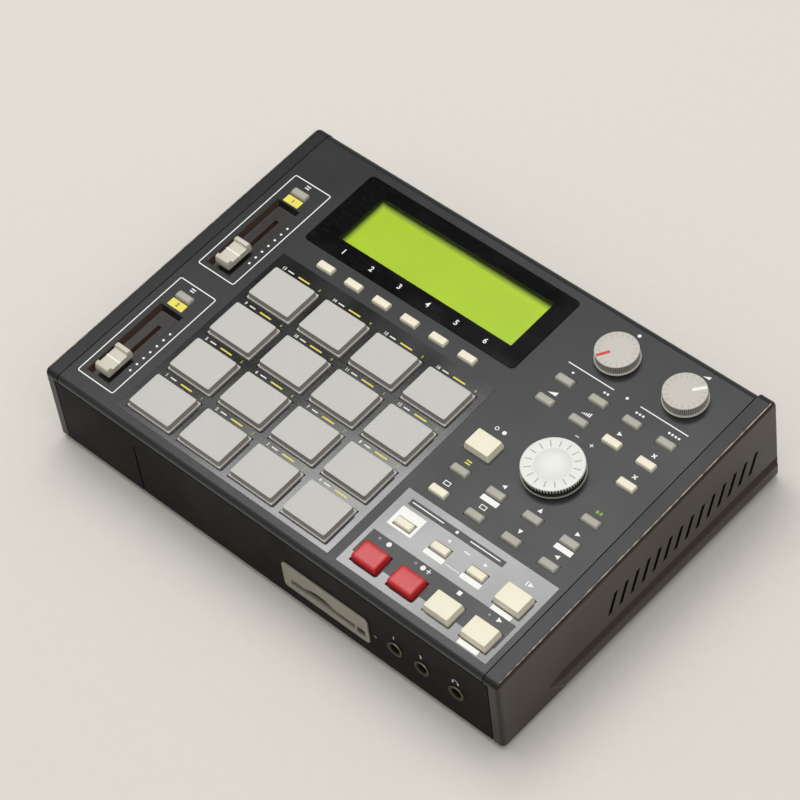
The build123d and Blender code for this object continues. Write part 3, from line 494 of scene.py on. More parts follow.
class EffectGroups:
    """Builds each shared effect once."""

    FLOAT = "NodeSocketFloat"
    VECTOR = "NodeSocketVector"

    def __init__(self) -> None:
        """Build all groups."""
        self.trees = {
            Effect.GRAIN: self.grain(),
            Effect.SMUDGE: self.smudge(),
            Effect.WEAR: self.wear(),
            Effect.DUST: self.dust(),
            Effect.SCRATCH: self.scratch(),
            Effect.FLANK: self.flank(),
            Effect.RUB: self.rub(),
        }

    def start(
        self, effect: Effect, numbers: Sequence[str], results: Sequence[str]
    ) -> tuple[NodeMaker, bpy.types.NodeOutputs, bpy.types.NodeInputs]:
        """Open a group with a Vector input, more number inputs and number outputs.

        Args:
            effect: The effect that the group makes.
            numbers: Names of its number inputs.
            results: Names of its outputs.

        Returns:
            A node maker for the group, the sockets that it is given and those of its results.
        """
        tree = bpy.data.node_groups.new(effect.value, "ShaderNodeTree")
        tree.interface.new_socket("Vector", in_out="INPUT", socket_type=self.VECTOR)
        for name in numbers:
            tree.interface.new_socket(name, in_out="INPUT", socket_type=self.FLOAT)
        for name in results:
            tree.interface.new_socket(name, in_out="OUTPUT", socket_type=self.FLOAT)
        nodes = NodeMaker(tree)
        return nodes, nodes.add("NodeGroupInput").outputs, nodes.add("NodeGroupOutput").inputs

    def grain(self) -> Tree:
        """Fine moulded grain of a given size: a height and a slower speckle.

        Returns:
            The group.
        """
        slow_share = 0.45
        speckle_range = (0.3, 0.7)
        nodes, given, result = self.start(Effect.GRAIN, ["Size"], ["Height", "Speckle"])
        scale = nodes.math("DIVIDE", 1.0, given["Size"])
        height = nodes.noise(given["Vector"], scale)
        slow = nodes.noise(given["Vector"], nodes.math("MULTIPLY", scale, slow_share))
        nodes.link(height, result["Height"])
        nodes.link(nodes.spread(slow, speckle_range), result["Speckle"])
        return nodes.tree

    def smudge(self) -> Tree:
        """Broad uneven gloss between a low and a high roughness.

        Returns:
            The group.
        """
        cloud_detail = 5.0
        cloud_range = (0.35, 0.65)
        nodes, given, result = self.start(Effect.SMUDGE, ["Size", "Low", "High"], ["Roughness"])
        scale = nodes.math("DIVIDE", 1.0, given["Size"])
        broad = nodes.noise(given["Vector"], scale, cloud_detail)
        share = nodes.spread(broad, cloud_range)
        rough = nodes.blend(share, given["Low"], given["High"])
        nodes.link(rough, result["Roughness"])
        return nodes.tree

    def wear(self) -> Tree:
        """A broken mask along edges, where the bevelled normal leaves the true one.

        Returns:
            The group.
        """
        bend_range = (0.985, 0.9)
        patch_scale = 90.0
        patch_detail = 8.0
        patch_range = (0.45, 0.62)
        nodes, given, result = self.start(Effect.WEAR, ["Radius", "Amount"], ["Mask"])
        soft = nodes.add("ShaderNodeBevel", {"Radius": given["Radius"]}, samples=6).outputs[0]
        true = nodes.add("ShaderNodeNewGeometry").outputs["Normal"]
        dot = nodes.add("ShaderNodeVectorMath", {0: soft, 1: true}, operation="DOT_PRODUCT").outputs["Value"]
        edge = nodes.spread(dot, bend_range)
        patches = nodes.spread(nodes.noise(given["Vector"], patch_scale, patch_detail), patch_range)
        mask = nodes.math("MULTIPLY", nodes.math("MULTIPLY", edge, patches), given["Amount"], True)
        nodes.link(mask, result["Mask"])
        return nodes.tree

    def dust(self) -> Tree:
        """A thin mask of dust on faces that look up.

        Returns:
            The group.
        """
        level_range = (0.6, 0.98)
        fleck_scale = 900.0
        fleck_detail = 2.0
        fleck_range = (0.62, 0.72)
        cloud_scale = 28.0
        cloud_detail = 4.0
        cloud_range = (0.4, 0.7)
        cloud_share = (0.15, 1.0)
        nodes, given, result = self.start(Effect.DUST, ["Amount"], ["Mask"])
        level = nodes.spread(self.facing(nodes, "Z"), level_range)
        flecks = nodes.spread(nodes.noise(given["Vector"], fleck_scale, fleck_detail), fleck_range)
        cloud = nodes.noise(given["Vector"], cloud_scale, cloud_detail)
        cloud = nodes.spread(cloud, cloud_range, cloud_share)
        mask = nodes.math("MULTIPLY", nodes.math("MULTIPLY", level, flecks), cloud)
        mask = nodes.math("MULTIPLY", mask, given["Amount"], True)
        nodes.link(mask, result["Mask"])
        return nodes.tree

    def scratch(self) -> Tree:
        """Sparse hairlines: thin bands of a stretched noise.

        Returns:
            The group.
        """
        stretch = (14.0, 160.0, 60.0)
        slant = (0.0, 0.0, 0.7)
        band_scale = 3.0
        band_detail = 6.0
        line_width = 0.012
        nodes, given, result = self.start(Effect.SCRATCH, ["Amount"], ["Mask"])
        turn = {"Vector": given["Vector"], "Rotation": slant, "Scale": stretch}
        drawn = nodes.add("ShaderNodeMapping", turn).outputs[0]
        bands = nodes.noise(drawn, band_scale, band_detail)
        away = nodes.math("ABSOLUTE", nodes.math("SUBTRACT", bands, 0.5))
        line = nodes.spread(away, (0.0, line_width), (1.0, 0.0))
        mask = nodes.math("MULTIPLY", line, given["Amount"], True)
        nodes.link(mask, result["Mask"])
        return nodes.tree

    def facing(self, nodes: NodeMaker, axis: str) -> Socket:
        """How far a face looks along an axis."""
        normal = nodes.add("ShaderNodeNewGeometry").outputs["Normal"]
        return nodes.add("ShaderNodeSeparateXYZ", {0: normal}).outputs[axis]

    def flank(self) -> Tree:
        """Masks on steep faces, which carry painted shade and painted reflection: those of the sides, and
        those of the front and rear.

        Returns:
            The group.
        """
        steep_range = (0.45, 0.9)
        fore_range = (0.45, 0.8)
        nodes, given, result = self.start(Effect.FLANK, ["Amount"], ["Side", "Fore"])
        steep = nodes.spread(self.facing(nodes, "Z"), steep_range, (1.0, 0.0))
        steep = nodes.math("MULTIPLY", steep, given["Amount"], True)
        depth = nodes.math("ABSOLUTE", self.facing(nodes, "Y"))
        fore = nodes.spread(depth, fore_range)
        side = nodes.math("SUBTRACT", 1.0, fore)
        for name, share in (("Side", side), ("Fore", fore)):
            nodes.link(nodes.math("MULTIPLY", steep, share), result[name])
        return nodes.tree

    def rub(self) -> Tree:
        """A thin broken light line along a rounded upper side edge: partly scuffed paint, partly a painted
        highlight where the roll would catch the light.

        Returns:
            The group.
        """
        patch_scale = 260.0
        patch_detail = 8.0
        patch_range = (0.35, 0.6)
        patch_share = (0.25, 1.0)
        line_start = (0.8, 0.87)
        line_end = (0.9, 0.96)
        side_range = (0.1, 0.3)
        nodes, given, result = self.start(Effect.RUB, ["Amount"], ["Mask"])
        up = self.facing(nodes, "Z")
        depth = nodes.math("ABSOLUTE", self.facing(nodes, "Y"))
        patches = nodes.noise(given["Vector"], patch_scale, patch_detail)
        mask = nodes.spread(patches, patch_range, patch_share)
        limits = (
            nodes.spread(up, line_start),
            nodes.spread(up, line_end, (1.0, 0.0)),
            nodes.spread(depth, side_range, (1.0, 0.0)),
        )
        for limit in limits:
            mask = nodes.math("MULTIPLY", mask, limit)
        mask = nodes.math("MULTIPLY", mask, given["Amount"], True)
        nodes.link(mask, result["Mask"])
        return nodes.tree


EFFECTS = EffectGroups()


@dataclass(frozen=True)
class Finish:
    """A plastic, rubber, print or metal surface.

    Attributes:
        name: Name of the material.
        colour: Its display colour.
        rough: Lowest and highest roughness.
        grain: Size of its grain.
        relief: Depth of the grain.
        speckle: Share by which the colour varies with the grain.
        metallic: Share of metal.
        specular: Strength of the reflection, with 0.5 as plain plastic.
        coat: Weight of a clear coat.
        wear: Amount of edge wear.
        worn_and_highlight: Colour under the wear and scratches, and of the scuffed line with its painted
            highlight.
        dust: Amount of settled dust.
        scratch: Amount of hairline scratches.
        rub: Amount of the scuffed line along rounded upper edges, partly paint damage and partly painted
            highlight.
        flank: Share by which steep faces take painted colours: painted shade, and on some finishes painted
            reflection and painted light.
        shade: Painted colour of the steep faces at the sides.
        fore: Painted colour of the steep faces at the front and rear.
    """

    name: str
    colour: Colour
    rough: Pair
    grain: float = 0.6
    relief: float = 0.02
    speckle: float = 0.1
    metallic: float = 0.0
    specular: float = 0.5
    coat: float = 0.0
    wear: float = 0.0
    worn_and_highlight: Colour = (150, 146, 138)
    dust: float = 0.0
    scratch: float = 0.0
    rub: float = 0.0
    flank: float = 0.0
    shade: Colour = (140, 131, 124)
    fore: Colour = (134, 127, 120)

    def effect(self, nodes: NodeMaker, effect: Effect, inputs: dict[str, object]) -> Node:
        """Place a shared effect in the material, on the piece's own coordinates.

        Args:
            nodes: The material's node maker.
            effect: Which effect.
            inputs: Values of the effect's inputs, by name.

        Returns:
            The effect's node.
        """
        place = nodes.add("ShaderNodeTexCoord").outputs["Object"]
        node = nodes.add("ShaderNodeGroup", node_tree=EFFECTS.trees[effect])
        nodes.link(place, node.inputs["Vector"])
        for name, value in inputs.items():
            node.inputs[name].default_value = value
        return node

    def build(self) -> Material:
        """Make the material.

        Returns:
            A material with grain, uneven gloss, whatever wear, dust and scratches it has, and any painted
            shade on steep faces and painted highlight on rounded edges.
        """
        smudge_size = 34.0
        dust_colour = (176, 170, 160)
        wear_radius = 1.1
        coat_rough = 0.18
        material, nodes, shader = open_material(self.name)
        grain = self.effect(nodes, Effect.GRAIN, {"Size": self.grain * MM})
        dim, bright = (scaled(self.colour, factor) for factor in (1 - self.speckle, 1 + self.speckle))
        colour = nodes.mix(grain.outputs["Speckle"], dim, bright)
        if self.scratch:
            mask = self.effect(nodes, Effect.SCRATCH, {"Amount": self.scratch}).outputs["Mask"]
            colour = nodes.mix(mask, colour, linear(self.worn_and_highlight))
        # Steep faces take painted shade, and on some finishes a painted reflection.
        if self.flank:
            masks = self.effect(nodes, Effect.FLANK, {"Amount": self.flank}).outputs
            colour = nodes.mix(masks["Side"], colour, linear(self.shade))
            colour = nodes.mix(masks["Fore"], colour, linear(self.fore))
        # Rounded upper edges take a thin line of scuffed paint and painted highlight.
        if self.rub:
            mask = self.effect(nodes, Effect.RUB, {"Amount": self.rub}).outputs["Mask"]
            colour = nodes.mix(mask, colour, linear(self.worn_and_highlight))
        if self.wear:
            given = {"Radius": wear_radius * MM, "Amount": self.wear}
            mask = self.effect(nodes, Effect.WEAR, given).outputs["Mask"]
            colour = nodes.mix(mask, colour, linear(self.worn_and_highlight))
        if self.dust:
            mask = self.effect(nodes, Effect.DUST, {"Amount": self.dust}).outputs["Mask"]
            colour = nodes.mix(mask, colour, linear(dust_colour))
        given = {"Size": smudge_size * MM, "Low": self.rough[0], "High": self.rough[1]}
        rough = self.effect(nodes, Effect.SMUDGE, given).outputs["Roughness"]
        bump = {"Height": grain.outputs["Height"], "Strength": 1.0, "Distance": self.relief * MM}
        nodes.link(colour, shader.inputs["Base Color"])
        nodes.link(rough, shader.inputs["Roughness"])
        nodes.link(nodes.add("ShaderNodeBump", bump).outputs[0], shader.inputs["Normal"])
        shader.inputs["Metallic"].default_value = self.metallic
        shader.inputs["Specular IOR Level"].default_value = self.specular
        shader.inputs["Coat Weight"].default_value = self.coat
        shader.inputs["Coat Roughness"].default_value = coat_rough
        return material


@dataclass(frozen=True)
class LitDisplayFinish:
    """The lit face of the display: glowing cells with fine dark gaps."""

    name: str = "lit display"
    glow: Colour = (177, 211, 10)
    shade: Colour = (152, 190, 6)
    # The dark colour is a painted shadow along the left and rear edges, where the window's mask would shade
    # the sunken display.
    dark: Colour = (26, 34, 6)
    glass: Colour = (34, 40, 14)
    cell: float = 0.52
    strength: float = 1.0
    left_edge: float = -99.0
    rear_edge: float = 205.5
    edge_shadow: float = 4.2

    def build(self) -> Material:
        """Make the material.

        Returns:
            A material with a cell grid on the panel's slope and a painted shadow at two edges, where the
            window's mask would shade the sunken display.
        """
        gap_share = 0.14
        grid_share = 0.3
        cloud_scale = 30.0
        cloud_range = (0.3, 0.7)
        cloud_share = (0.0, 0.35)
        rough = (0.3, 0.42)
        material, nodes, shader = open_material(self.name)
        place = nodes.add("ShaderNodeTexCoord").outputs["Object"]
        level = {"Vector": place, "Rotation": (-PANEL.slope(), 0.0, 0.0)}
        flat = nodes.add("ShaderNodeMapping", level).outputs[0]
        split = nodes.add("ShaderNodeSeparateXYZ", {0: flat})
        # Painted shadow: the glow darkens towards the left and rear edges over a short reach.
        corner = PANEL.at(self.left_edge, self.rear_edge).translation
        corner = Matrix.Rotation(-PANEL.slope(), 4, "X") @ corner
        reach = self.edge_shadow * MM
        left = nodes.spread(split.outputs["X"], (corner.x, corner.x + reach), (1.0, 0.0))
        rear = nodes.spread(split.outputs["Y"], (corner.y - reach, corner.y), (0.0, 1.0))
        edge = nodes.math("MAXIMUM", left, rear)
        gaps = []
        for axis in ("X", "Y"):
            cells = nodes.math("FRACT", nodes.math("DIVIDE", split.outputs[axis], self.cell * MM))
            gaps.append(nodes.math("LESS_THAN", cells, gap_share))
        grid = nodes.math("MAXIMUM", gaps[0], gaps[1])
        cloud = nodes.spread(nodes.noise(place, cloud_scale), cloud_range, cloud_share)
        share = nodes.math("ADD", nodes.math("MULTIPLY", grid, grid_share), cloud, True)
        colour = nodes.mix(share, linear(self.glow), linear(self.shade))
        colour = nodes.mix(edge, colour, linear(self.dark))
        nodes.link(colour, shader.inputs["Emission Color"])
        shader.inputs["Base Color"].default_value = linear(self.glass)
        nodes.link(nodes.spread(cloud, cloud_share, rough), shader.inputs["Roughness"])
        shader.inputs["Emission Strength"].default_value = self.strength
        return material


@dataclass(frozen=True)
class ClearFinish:
    """Clear acrylic with faint smudges."""

    name: str = "clear acrylic"
    rough: Pair = (0.01, 0.05)
    cloud_scale: float = 60.0
    cloud_range: Pair = (0.4, 0.7)
    refraction: float = 1.49

    def build(self) -> Material:
        """Make the material.

        Returns:
            A clear material with uneven gloss.
        """
        material, nodes, shader = open_material(self.name)
        place = nodes.add("ShaderNodeTexCoord").outputs["Object"]
        cloud = nodes.noise(place, self.cloud_scale)
        nodes.link(nodes.spread(cloud, self.cloud_range, self.rough), shader.inputs["Roughness"])
        shader.inputs["Base Color"].default_value = (1.0, 1.0, 1.0, 1.0)
        shader.inputs["IOR"].default_value = self.refraction
        shader.inputs["Transmission Weight"].default_value = 1.0
        return material


class Finishes:
    """Every material of the sampler, built once."""

    def __init__(self) -> None:
        """Build the materials."""
        # Colour of the scuffed line on the cheeks' upper edges, lightened as a painted highlight.
        scuff_highlight_colour = (214, 196, 182)
        self.panel = Finish(
            "panel charcoal", (34, 36, 36), (0.29, 0.35), 0.7, 0.02, 0.12, specular=0.45, dust=0.05
        ).build()
        # Cheeks: the line along their upper edges is partly scuffed paint and partly painted highlight; the
        # brown of their sides is a painted reflection of a warm floor, and the near-black of their front and
        # rear faces is painted shade.
        self.cheek = Finish(
            "cheek black", (34, 35, 35), (0.29, 0.35), 0.8, 0.006, 0.06, specular=0.35, rub=0.9, worn_and_highlight=scuff_highlight_colour,
            flank=1.0, shade=(50, 39, 29), fore=(10, 9, 8),
        ).build()
        self.face = Finish("face black", (15, 13, 12), (0.34, 0.44), 0.7, 0.012, 0.1, specular=0.04).build()
        self.film = Finish(
            "gloss film", (15, 16, 15), (0.11, 0.16), 0.9, 0.005, 0.2, specular=1.0, coat=0.3
        ).build()
        self.band = Finish("matte band", (54, 56, 56), (0.4, 0.48), 0.7, 0.02, 0.1, specular=0.6).build()
        # Well lining: the warm colour of its side walls is painted light, and the darker front and rear
        # walls are painted shade.
        self.well = Finish(
            "well black", (40, 36, 34), (0.25, 0.35), 0.6, 0.006, 0.08,
            flank=0.8, shade=(78, 58, 50), fore=(26, 24, 22),
        ).build()
        self.mask = Finish("window black", (7, 7, 8), (0.08, 0.14), 2.0, 0.001, 0.1, scratch=0.05).build()
        # The pads' steep walls are darkened with painted shade.
        self.pad = Finish("pad rubber", (198, 197, 192), (0.6, 0.72), 0.45, 0.012, 0.03, flank=0.85).build()
        self.cream = Finish("cream key", (240, 234, 210), (0.36, 0.46), 0.5, 0.006, 0.02).build()
        self.grey = Finish("grey key", (172, 169, 158), (0.38, 0.48), 0.5, 0.006, 0.03).build()
        self.red = Finish("red key", (200, 34, 38), (0.34, 0.42), 0.6, 0.006, 0.05, specular=0.7).build()
        self.fader = Finish("fader grey", (210, 206, 190), (0.4, 0.5), 0.5, 0.008, 0.03).build()
        self.knob = Finish("knob grey", (200, 196, 187), (0.45, 0.55), 0.5, 0.01, 0.03).build()
        # Darker grey of the knobs' cores, which show only between the ribs: painted shade in the gaps.
        self.rib_gap_shade = Finish("groove grey", (96, 90, 80), (0.5, 0.6), 0.4, 0.01, 0.08).build()
        self.dial = Finish(
            "dial silver", (232, 232, 228), (0.36, 0.44), 0.4, 0.004, 0.02, specular=0.4
        ).build()
        self.skirt = Finish("dial skirt", (44, 44, 43), (0.4, 0.5), 0.4, 0.006, 0.1).build()
        self.tick = Finish("tick grey", (170, 169, 164), (0.45, 0.55), 0.4, 0.004, 0.08).build()
        self.white = Finish("white print", (246, 246, 242), (0.5, 0.6), 0.4, 0.004, 0.03).build()
        self.yellow = Finish("yellow print", (236, 224, 92), (0.5, 0.6), 0.4, 0.004, 0.04).build()
        self.green = Finish("green print", (166, 206, 84), (0.5, 0.6), 0.4, 0.004, 0.04).build()
        self.scarlet = Finish("scarlet print", (206, 60, 56), (0.4, 0.5), 0.4, 0.004, 0.04).build()
        self.lamp = Finish("lamp lens", (132, 132, 146), (0.15, 0.25), 0.4, 0.003, 0.08, coat=0.5).build()
        self.lens = Finish("dark lens", (44, 41, 40), (0.08, 0.14), 0.4, 0.003, 0.08, coat=0.6).build()
        self.bezel = Finish(
            "bezel silver", (152, 147, 134), (0.36, 0.46), 0.5, 0.01, 0.05, 0.3, wear=0.4
        ).build()
        self.brass = Finish("ring brass", (128, 117, 90), (0.3, 0.42), 0.4, 0.006, 0.2, 1.0).build()
        self.socket = Finish("socket black", (20, 20, 20), (0.4, 0.5), 0.6, 0.01, 0.1).build()
        self.rubber = Finish("foot rubber", (30, 30, 30), (0.7, 0.8), 0.6, 0.03, 0.12, dust=0.3).build()
        self.sheet = Finish("coated sheet", (30, 30, 31), (0.45, 0.55), 1.0, 0.05, 0.12, wear=0.35).build()
        self.steel = Finish("plated steel", (176, 174, 168), (0.3, 0.42), 0.5, 0.01, 0.06, 1.0).build()
        self.track = Finish("track brown", (96, 66, 48), (0.5, 0.6), 0.4, 0.01, 0.12).build()
        self.board = Finish("board green", (30, 92, 52), (0.35, 0.5), 2.5, 0.03, 0.3).build()
        self.mat = Finish("sensor mat", (44, 44, 44), (0.7, 0.8), 0.6, 0.02, 0.1).build()
        self.lit = LitDisplayFinish().build()
        self.clear = ClearFinish().build()


class Path(Enum):
    """The line along which a repeat places its stamps."""

    RING = "ring"
    ROW = "row"


class Stamp(Enum):
    """The shape that a repeat places again and again."""

    ROD = "GeometryNodeMeshCylinder"
    BLOCK = "GeometryNodeMeshCube"


class Repeats:
    """Geometry Nodes trees that place a stamp round a circle or along a line."""

    def __init__(self) -> None:
        """Keep each tree once it is made."""
        self.trees: dict[tuple[Path, Stamp], Tree] = {}

    def tree(self, path: Path, stamp: Stamp) -> Tree:
        """Build or find a tree.

        Args:
            path: The line to follow.
            stamp: What to place.

        Returns:
            The tree, with inputs Count, Reach, Sides, Size and Material.
        """
        if (path, stamp) in self.trees:
            return self.trees[(path, stamp)]
        tree = bpy.data.node_groups.new(f"{path.value} of {stamp.name.lower()}s", "GeometryNodeTree")
        for name, kind in (("Count", "Int"), ("Reach", "Float"), ("Sides", "Int"), ("Size", "Vector")):
            tree.interface.new_socket(name, in_out="INPUT", socket_type=f"NodeSocket{kind}")
        tree.interface.new_socket("Material", in_out="INPUT", socket_type="NodeSocketMaterial")
        tree.interface.new_socket("Geometry", in_out="OUTPUT", socket_type="NodeSocketGeometry")
        nodes = NodeMaker(tree)
        given = nodes.add("NodeGroupInput").outputs
        if path is Path.RING:
            round_line = {"Vertices": given["Count"], "Radius": given["Reach"]}
            line = nodes.add("GeometryNodeMeshCircle", round_line)
            part = nodes.math("DIVIDE", math.tau, given["Count"])
            angle = nodes.math("MULTIPLY", nodes.add("GeometryNodeInputIndex").outputs[0], part)
            turned = nodes.add("ShaderNodeCombineXYZ", {"Z": angle}).outputs[0]
        else:
            step = nodes.add("ShaderNodeCombineXYZ", {"Y": given["Reach"]}).outputs[0]
            line = nodes.add("GeometryNodeMeshLine", {"Count": given["Count"], "Offset": step})
            turned = nodes.add("ShaderNodeCombineXYZ").outputs[0]
        turn = nodes.add("FunctionNodeEulerToRotation", {0: turned}).outputs[0]
        if stamp is Stamp.ROD:
            sizes = {"Vertices": given["Sides"], "Radius": 0.5, "Depth": 1.0}
        else:
            sizes = {"Size": (1.0, 1.0, 1.0)}
        single = nodes.add(stamp.value, sizes).outputs["Mesh"]
        placed = {"Points": line.outputs[0], "Instance": single, "Rotation": turn, "Scale": given["Size"]}
        many = nodes.add("GeometryNodeInstanceOnPoints", placed).outputs[0]
        real = nodes.add("GeometryNodeRealizeInstances", {0: many}).outputs[0]
        dressed = nodes.add("GeometryNodeSetMaterial", {"Geometry": real, "Material": given["Material"]})
        end = nodes.add("NodeGroupOutput")
        nodes.link(dressed.outputs[0], end.inputs["Geometry"])
        self.trees[(path, stamp)] = tree
        return tree

    def make(
        self,
        path: Path,
        stamp: Stamp,
        count: int,
        reach: float,
        size: Triple,
        material: Material,
        sides: int = 6,
    ) -> Shape:
        """Run a tree and take its result as a plain mesh.

        Args:
            path: The line to follow.
            stamp: What to place.
            count: How many.
            reach: Radius of the ring, or pitch of the row.
            size: Size of one stamp.
            material: Its material.
            sides: Sides of a rod.

        Returns:
            The repeated stamps, in local millimetres.
        """
        tree = self.tree(path, stamp)
        holder = bpy.data.objects.new("repeat", bpy.data.meshes.new("repeat"))
        bpy.context.scene.collection.objects.link(holder)
        modifier = holder.modifiers.new("repeat", "NODES")
        modifier.node_group = tree
        values = {"Count": count, "Reach": reach, "Sides": sides, "Size": size, "Material": material}
        for item in tree.interface.items_tree:
            if item.in_out == "INPUT":
                modifier[item.identifier] = values[item.name]
        graph = bpy.context.evaluated_depsgraph_get()
        result = bpy.data.meshes.new_from_object(holder.evaluated_get(graph))
        holder.modifiers.remove(modifier)
        bpy.data.objects.remove(holder)
        shape = Shape()
        shape.mesh.from_mesh(result)
        bpy.data.meshes.remove(result)
        return shape


REPEATS = Repeats()


@dataclass
class Case:
    """The case: CAD nodes that keep their shape and get a finish and softened edges."""

    edge: float = 0.35
    edge_segments: int = 2
    edge_angle: float = 32.0
    weld: float = 0.002

    def soften(self, node: bpy.types.Object) -> None:
        """Round a node's sharp edges a little."""
        weld = node.modifiers.new("weld", "WELD")
        weld.merge_threshold = self.weld * MM
        bevel = node.modifiers.new("soft edges", "BEVEL")
        bevel.width = self.edge * MM
        bevel.segments = self.edge_segments
        bevel.limit_method = "ANGLE"
        bevel.angle_limit = math.radians(self.edge_angle)
        bevel.harden_normals = False

    def dress(self, finishes: Finishes) -> None:
        """Give every CAD node that shows its finish.

        Args:
            finishes: The materials.
        """
        sockets = ("card_reader", "midi_sockets", "mains_inlet", "power_switch", "eject_button")
        looks = (
            (finishes.panel, ("top_panel",)),
            (finishes.cheek, ("left_cheek", "right_cheek")),
            (finishes.face, ("front_panel", "rear_panel")),
            (finishes.sheet, ("chassis_pan",)),
            (finishes.lit, ("display_module",)),
            (finishes.mat, ("pad_mat",)),
            (finishes.board, ("pad_board", "key_board", "main_board", "power_supply")),
            (finishes.bezel, ("card_bezel",)),
            (finishes.socket, sockets),
            (finishes.track, ("slide_pots",)),
            (finishes.steel, ("rotary_controls", "case_screws")),
            (finishes.rubber, ("feet",)),
        )
        softened = (
            "card_bezel", "front_panel", "rear_panel", "mains_inlet", "eject_button", "power_switch", "feet"
        )
        for material, names in looks:
            for name in names:
                node = frame["nodes"][name]
                node.data.materials.clear()
                node.data.materials.append(material)
                if name in softened:
                    self.soften(node)
                LOG.info("dressed %s", name)


@dataclass
class Films:
    """The two gloss films on the panel and the matte band printed on the lower one."""

    pad_film: Box = (-116.75, 7.25, 43.3, 141.5)
    transport_film: Box = (49.4, 7.1, 153.5, 64.6)
    band: Box = (52.25, 16.6, 151.0, 33.75)
    locate_bar: Box = (55.75, 56.25, 121.6, 60.4)
    thickness: float = 0.15
    sunk: float = 0.05
    print_depth: float = 0.03
    margin: float = 0.6

    def hole(self, centre: Pair, size: Pair) -> Box:
        """The opening around a pad or key."""
        return box_around(centre, (size[0] + 2 * self.margin, size[1] + 2 * self.margin))

    def build(self, pads: "PadGrid", keys: "KeyField", finishes: Finishes) -> None:
        """Make the films.

        Args:
            pads: The pads that come through the upper film.
            keys: The keys that come through the lower film.
            finishes: The materials.
        """
        pad_holes = [self.hole(centre, pads.size) for centre in pads.centres()]
        key_holes = [self.hole(centre, keys.size) for centre in keys.strips["locate_keys"]]
        big = ("play_start_key", "rec_key", "overdub_key", "stop_key", "play_key")
        key_holes += [self.hole(keys.single[name], keys.big_size) for name in big]
        top = self.thickness
        for name, box, holes in (
            ("pad_film", self.pad_film, pad_holes),
            ("transport_film", self.transport_film, key_holes),
        ):
            film = Shape()
            film.plate(box, -self.sunk, top, holes)
            film.move(PANEL.at()).build(name, CASE_BODY, finishes.film, "panel_charcoal")
        band = Shape()
        band.plate(self.band, top - self.sunk, top + self.print_depth, key_holes)
        band.plate(self.locate_bar, top - self.sunk, top + self.print_depth)
        band.move(PANEL.at()).build("transport_band", CASE_BODY, finishes.band, "panel_charcoal")


@dataclass
class Display:
    """The display window: a black masked frame under a clear sheet."""

    size: Pair = (157.0, 58.0)
    centre: Pair = (-36.9, 186.0)
    corner: float = 3.0
    opening: Pair = (129.0, 36.5)
    opening_centre: Pair = (-34.5, 187.25)
    opening_corner: float = 0.4
    back: float = -2.0
    sheet: float = 0.6
    front: float = 0.3

    def build(self, finishes: Finishes) -> None:
        """Make the mask and the sheet.

        Args:
            finishes: The materials.
        """
        low, seat = self.back, self.front - self.sheet
        mask = Shape()
        outer = [rounded(self.size, self.corner, h, self.centre) for h in (low, self.front)]
        opening = (self.opening, self.opening_corner)
        inner = [rounded(*opening, h, self.opening_centre) for h in (low, self.front)]
        mask.loft([outer[0], outer[1], inner[1], inner[0]], closed=True)
        mask.move(PANEL.at())
        mask.build("window_mask", CASE_BODY, finishes.mask, "display_glass", ["display_window"])
        sheet = Shape()
        sheet.loft([rounded(*opening, h, self.opening_centre) for h in (seat, self.front)])
        sheet.move(PANEL.at()).build("window_pane", CASE_BODY, finishes.clear, "display_glass")


@dataclass
class PadGrid:
    """Sixteen rubber pads, numbered from the front left.

    Attributes:
        first: Middle of the first pad.
        pitch: Steps between columns and between rows.
        size: Width and length of a pad's skirt.
        rows: Number of rows, and of columns.
        sections: Insets, corner and height of each ring of a pad.
    """

    first: Pair = (-95.0, 23.5)
    pitch: Pair = (38.9, 31.55)
    size: Pair = (32.6, 25.5)
    rows: int = 4
    sections: Sections = (
        (0.0, 0.0, 0.5, -4.2),
        (0.0, 0.0, 0.5, 0.8),
        (0.12, 0.12, 0.5, 0.98),
        (0.2, 0.2, 0.5, 1.02),
        (0.6, 0.68, 0.8, 1.06),
        (0.72, 0.8, 1.2, 1.2),
        (1.0, 1.18, 1.2, 4.2),
        (1.08, 1.26, 1.2, 4.5),
        (1.22, 1.42, 1.2, 4.66),
        (1.48, 1.68, 1.1, 4.7),
        (5.0, 5.0, 1.0, 4.7),
    )

    def centres(self) -> list[Pair]:
        """The middle of each pad, in number order."""
        columns = run(self.first[0], self.pitch[0], self.rows)
        return [(x, v) for v in run(self.first[1], self.pitch[1], self.rows) for x in columns]

    def build(self, finishes: Finishes) -> None:
        """Make every pad, each riding on its own body.

        Args:
            finishes: The materials.
        """
        for number, centre in enumerate(self.centres(), start=1):
            node = f"pad_{number}"
            pad = Shape()
            pad.cap(self.size, self.sections, centre)
            pad.move(PANEL.at()).build(f"{node}_rubber", node, finishes.pad, "pad_rubber", [node])


class KeyKind(Enum):
    """A key's colour and the roundness of its top."""

    CREAM = "cream"
    GREY = "grey"
    SOFT = "soft"
    RED = "red"


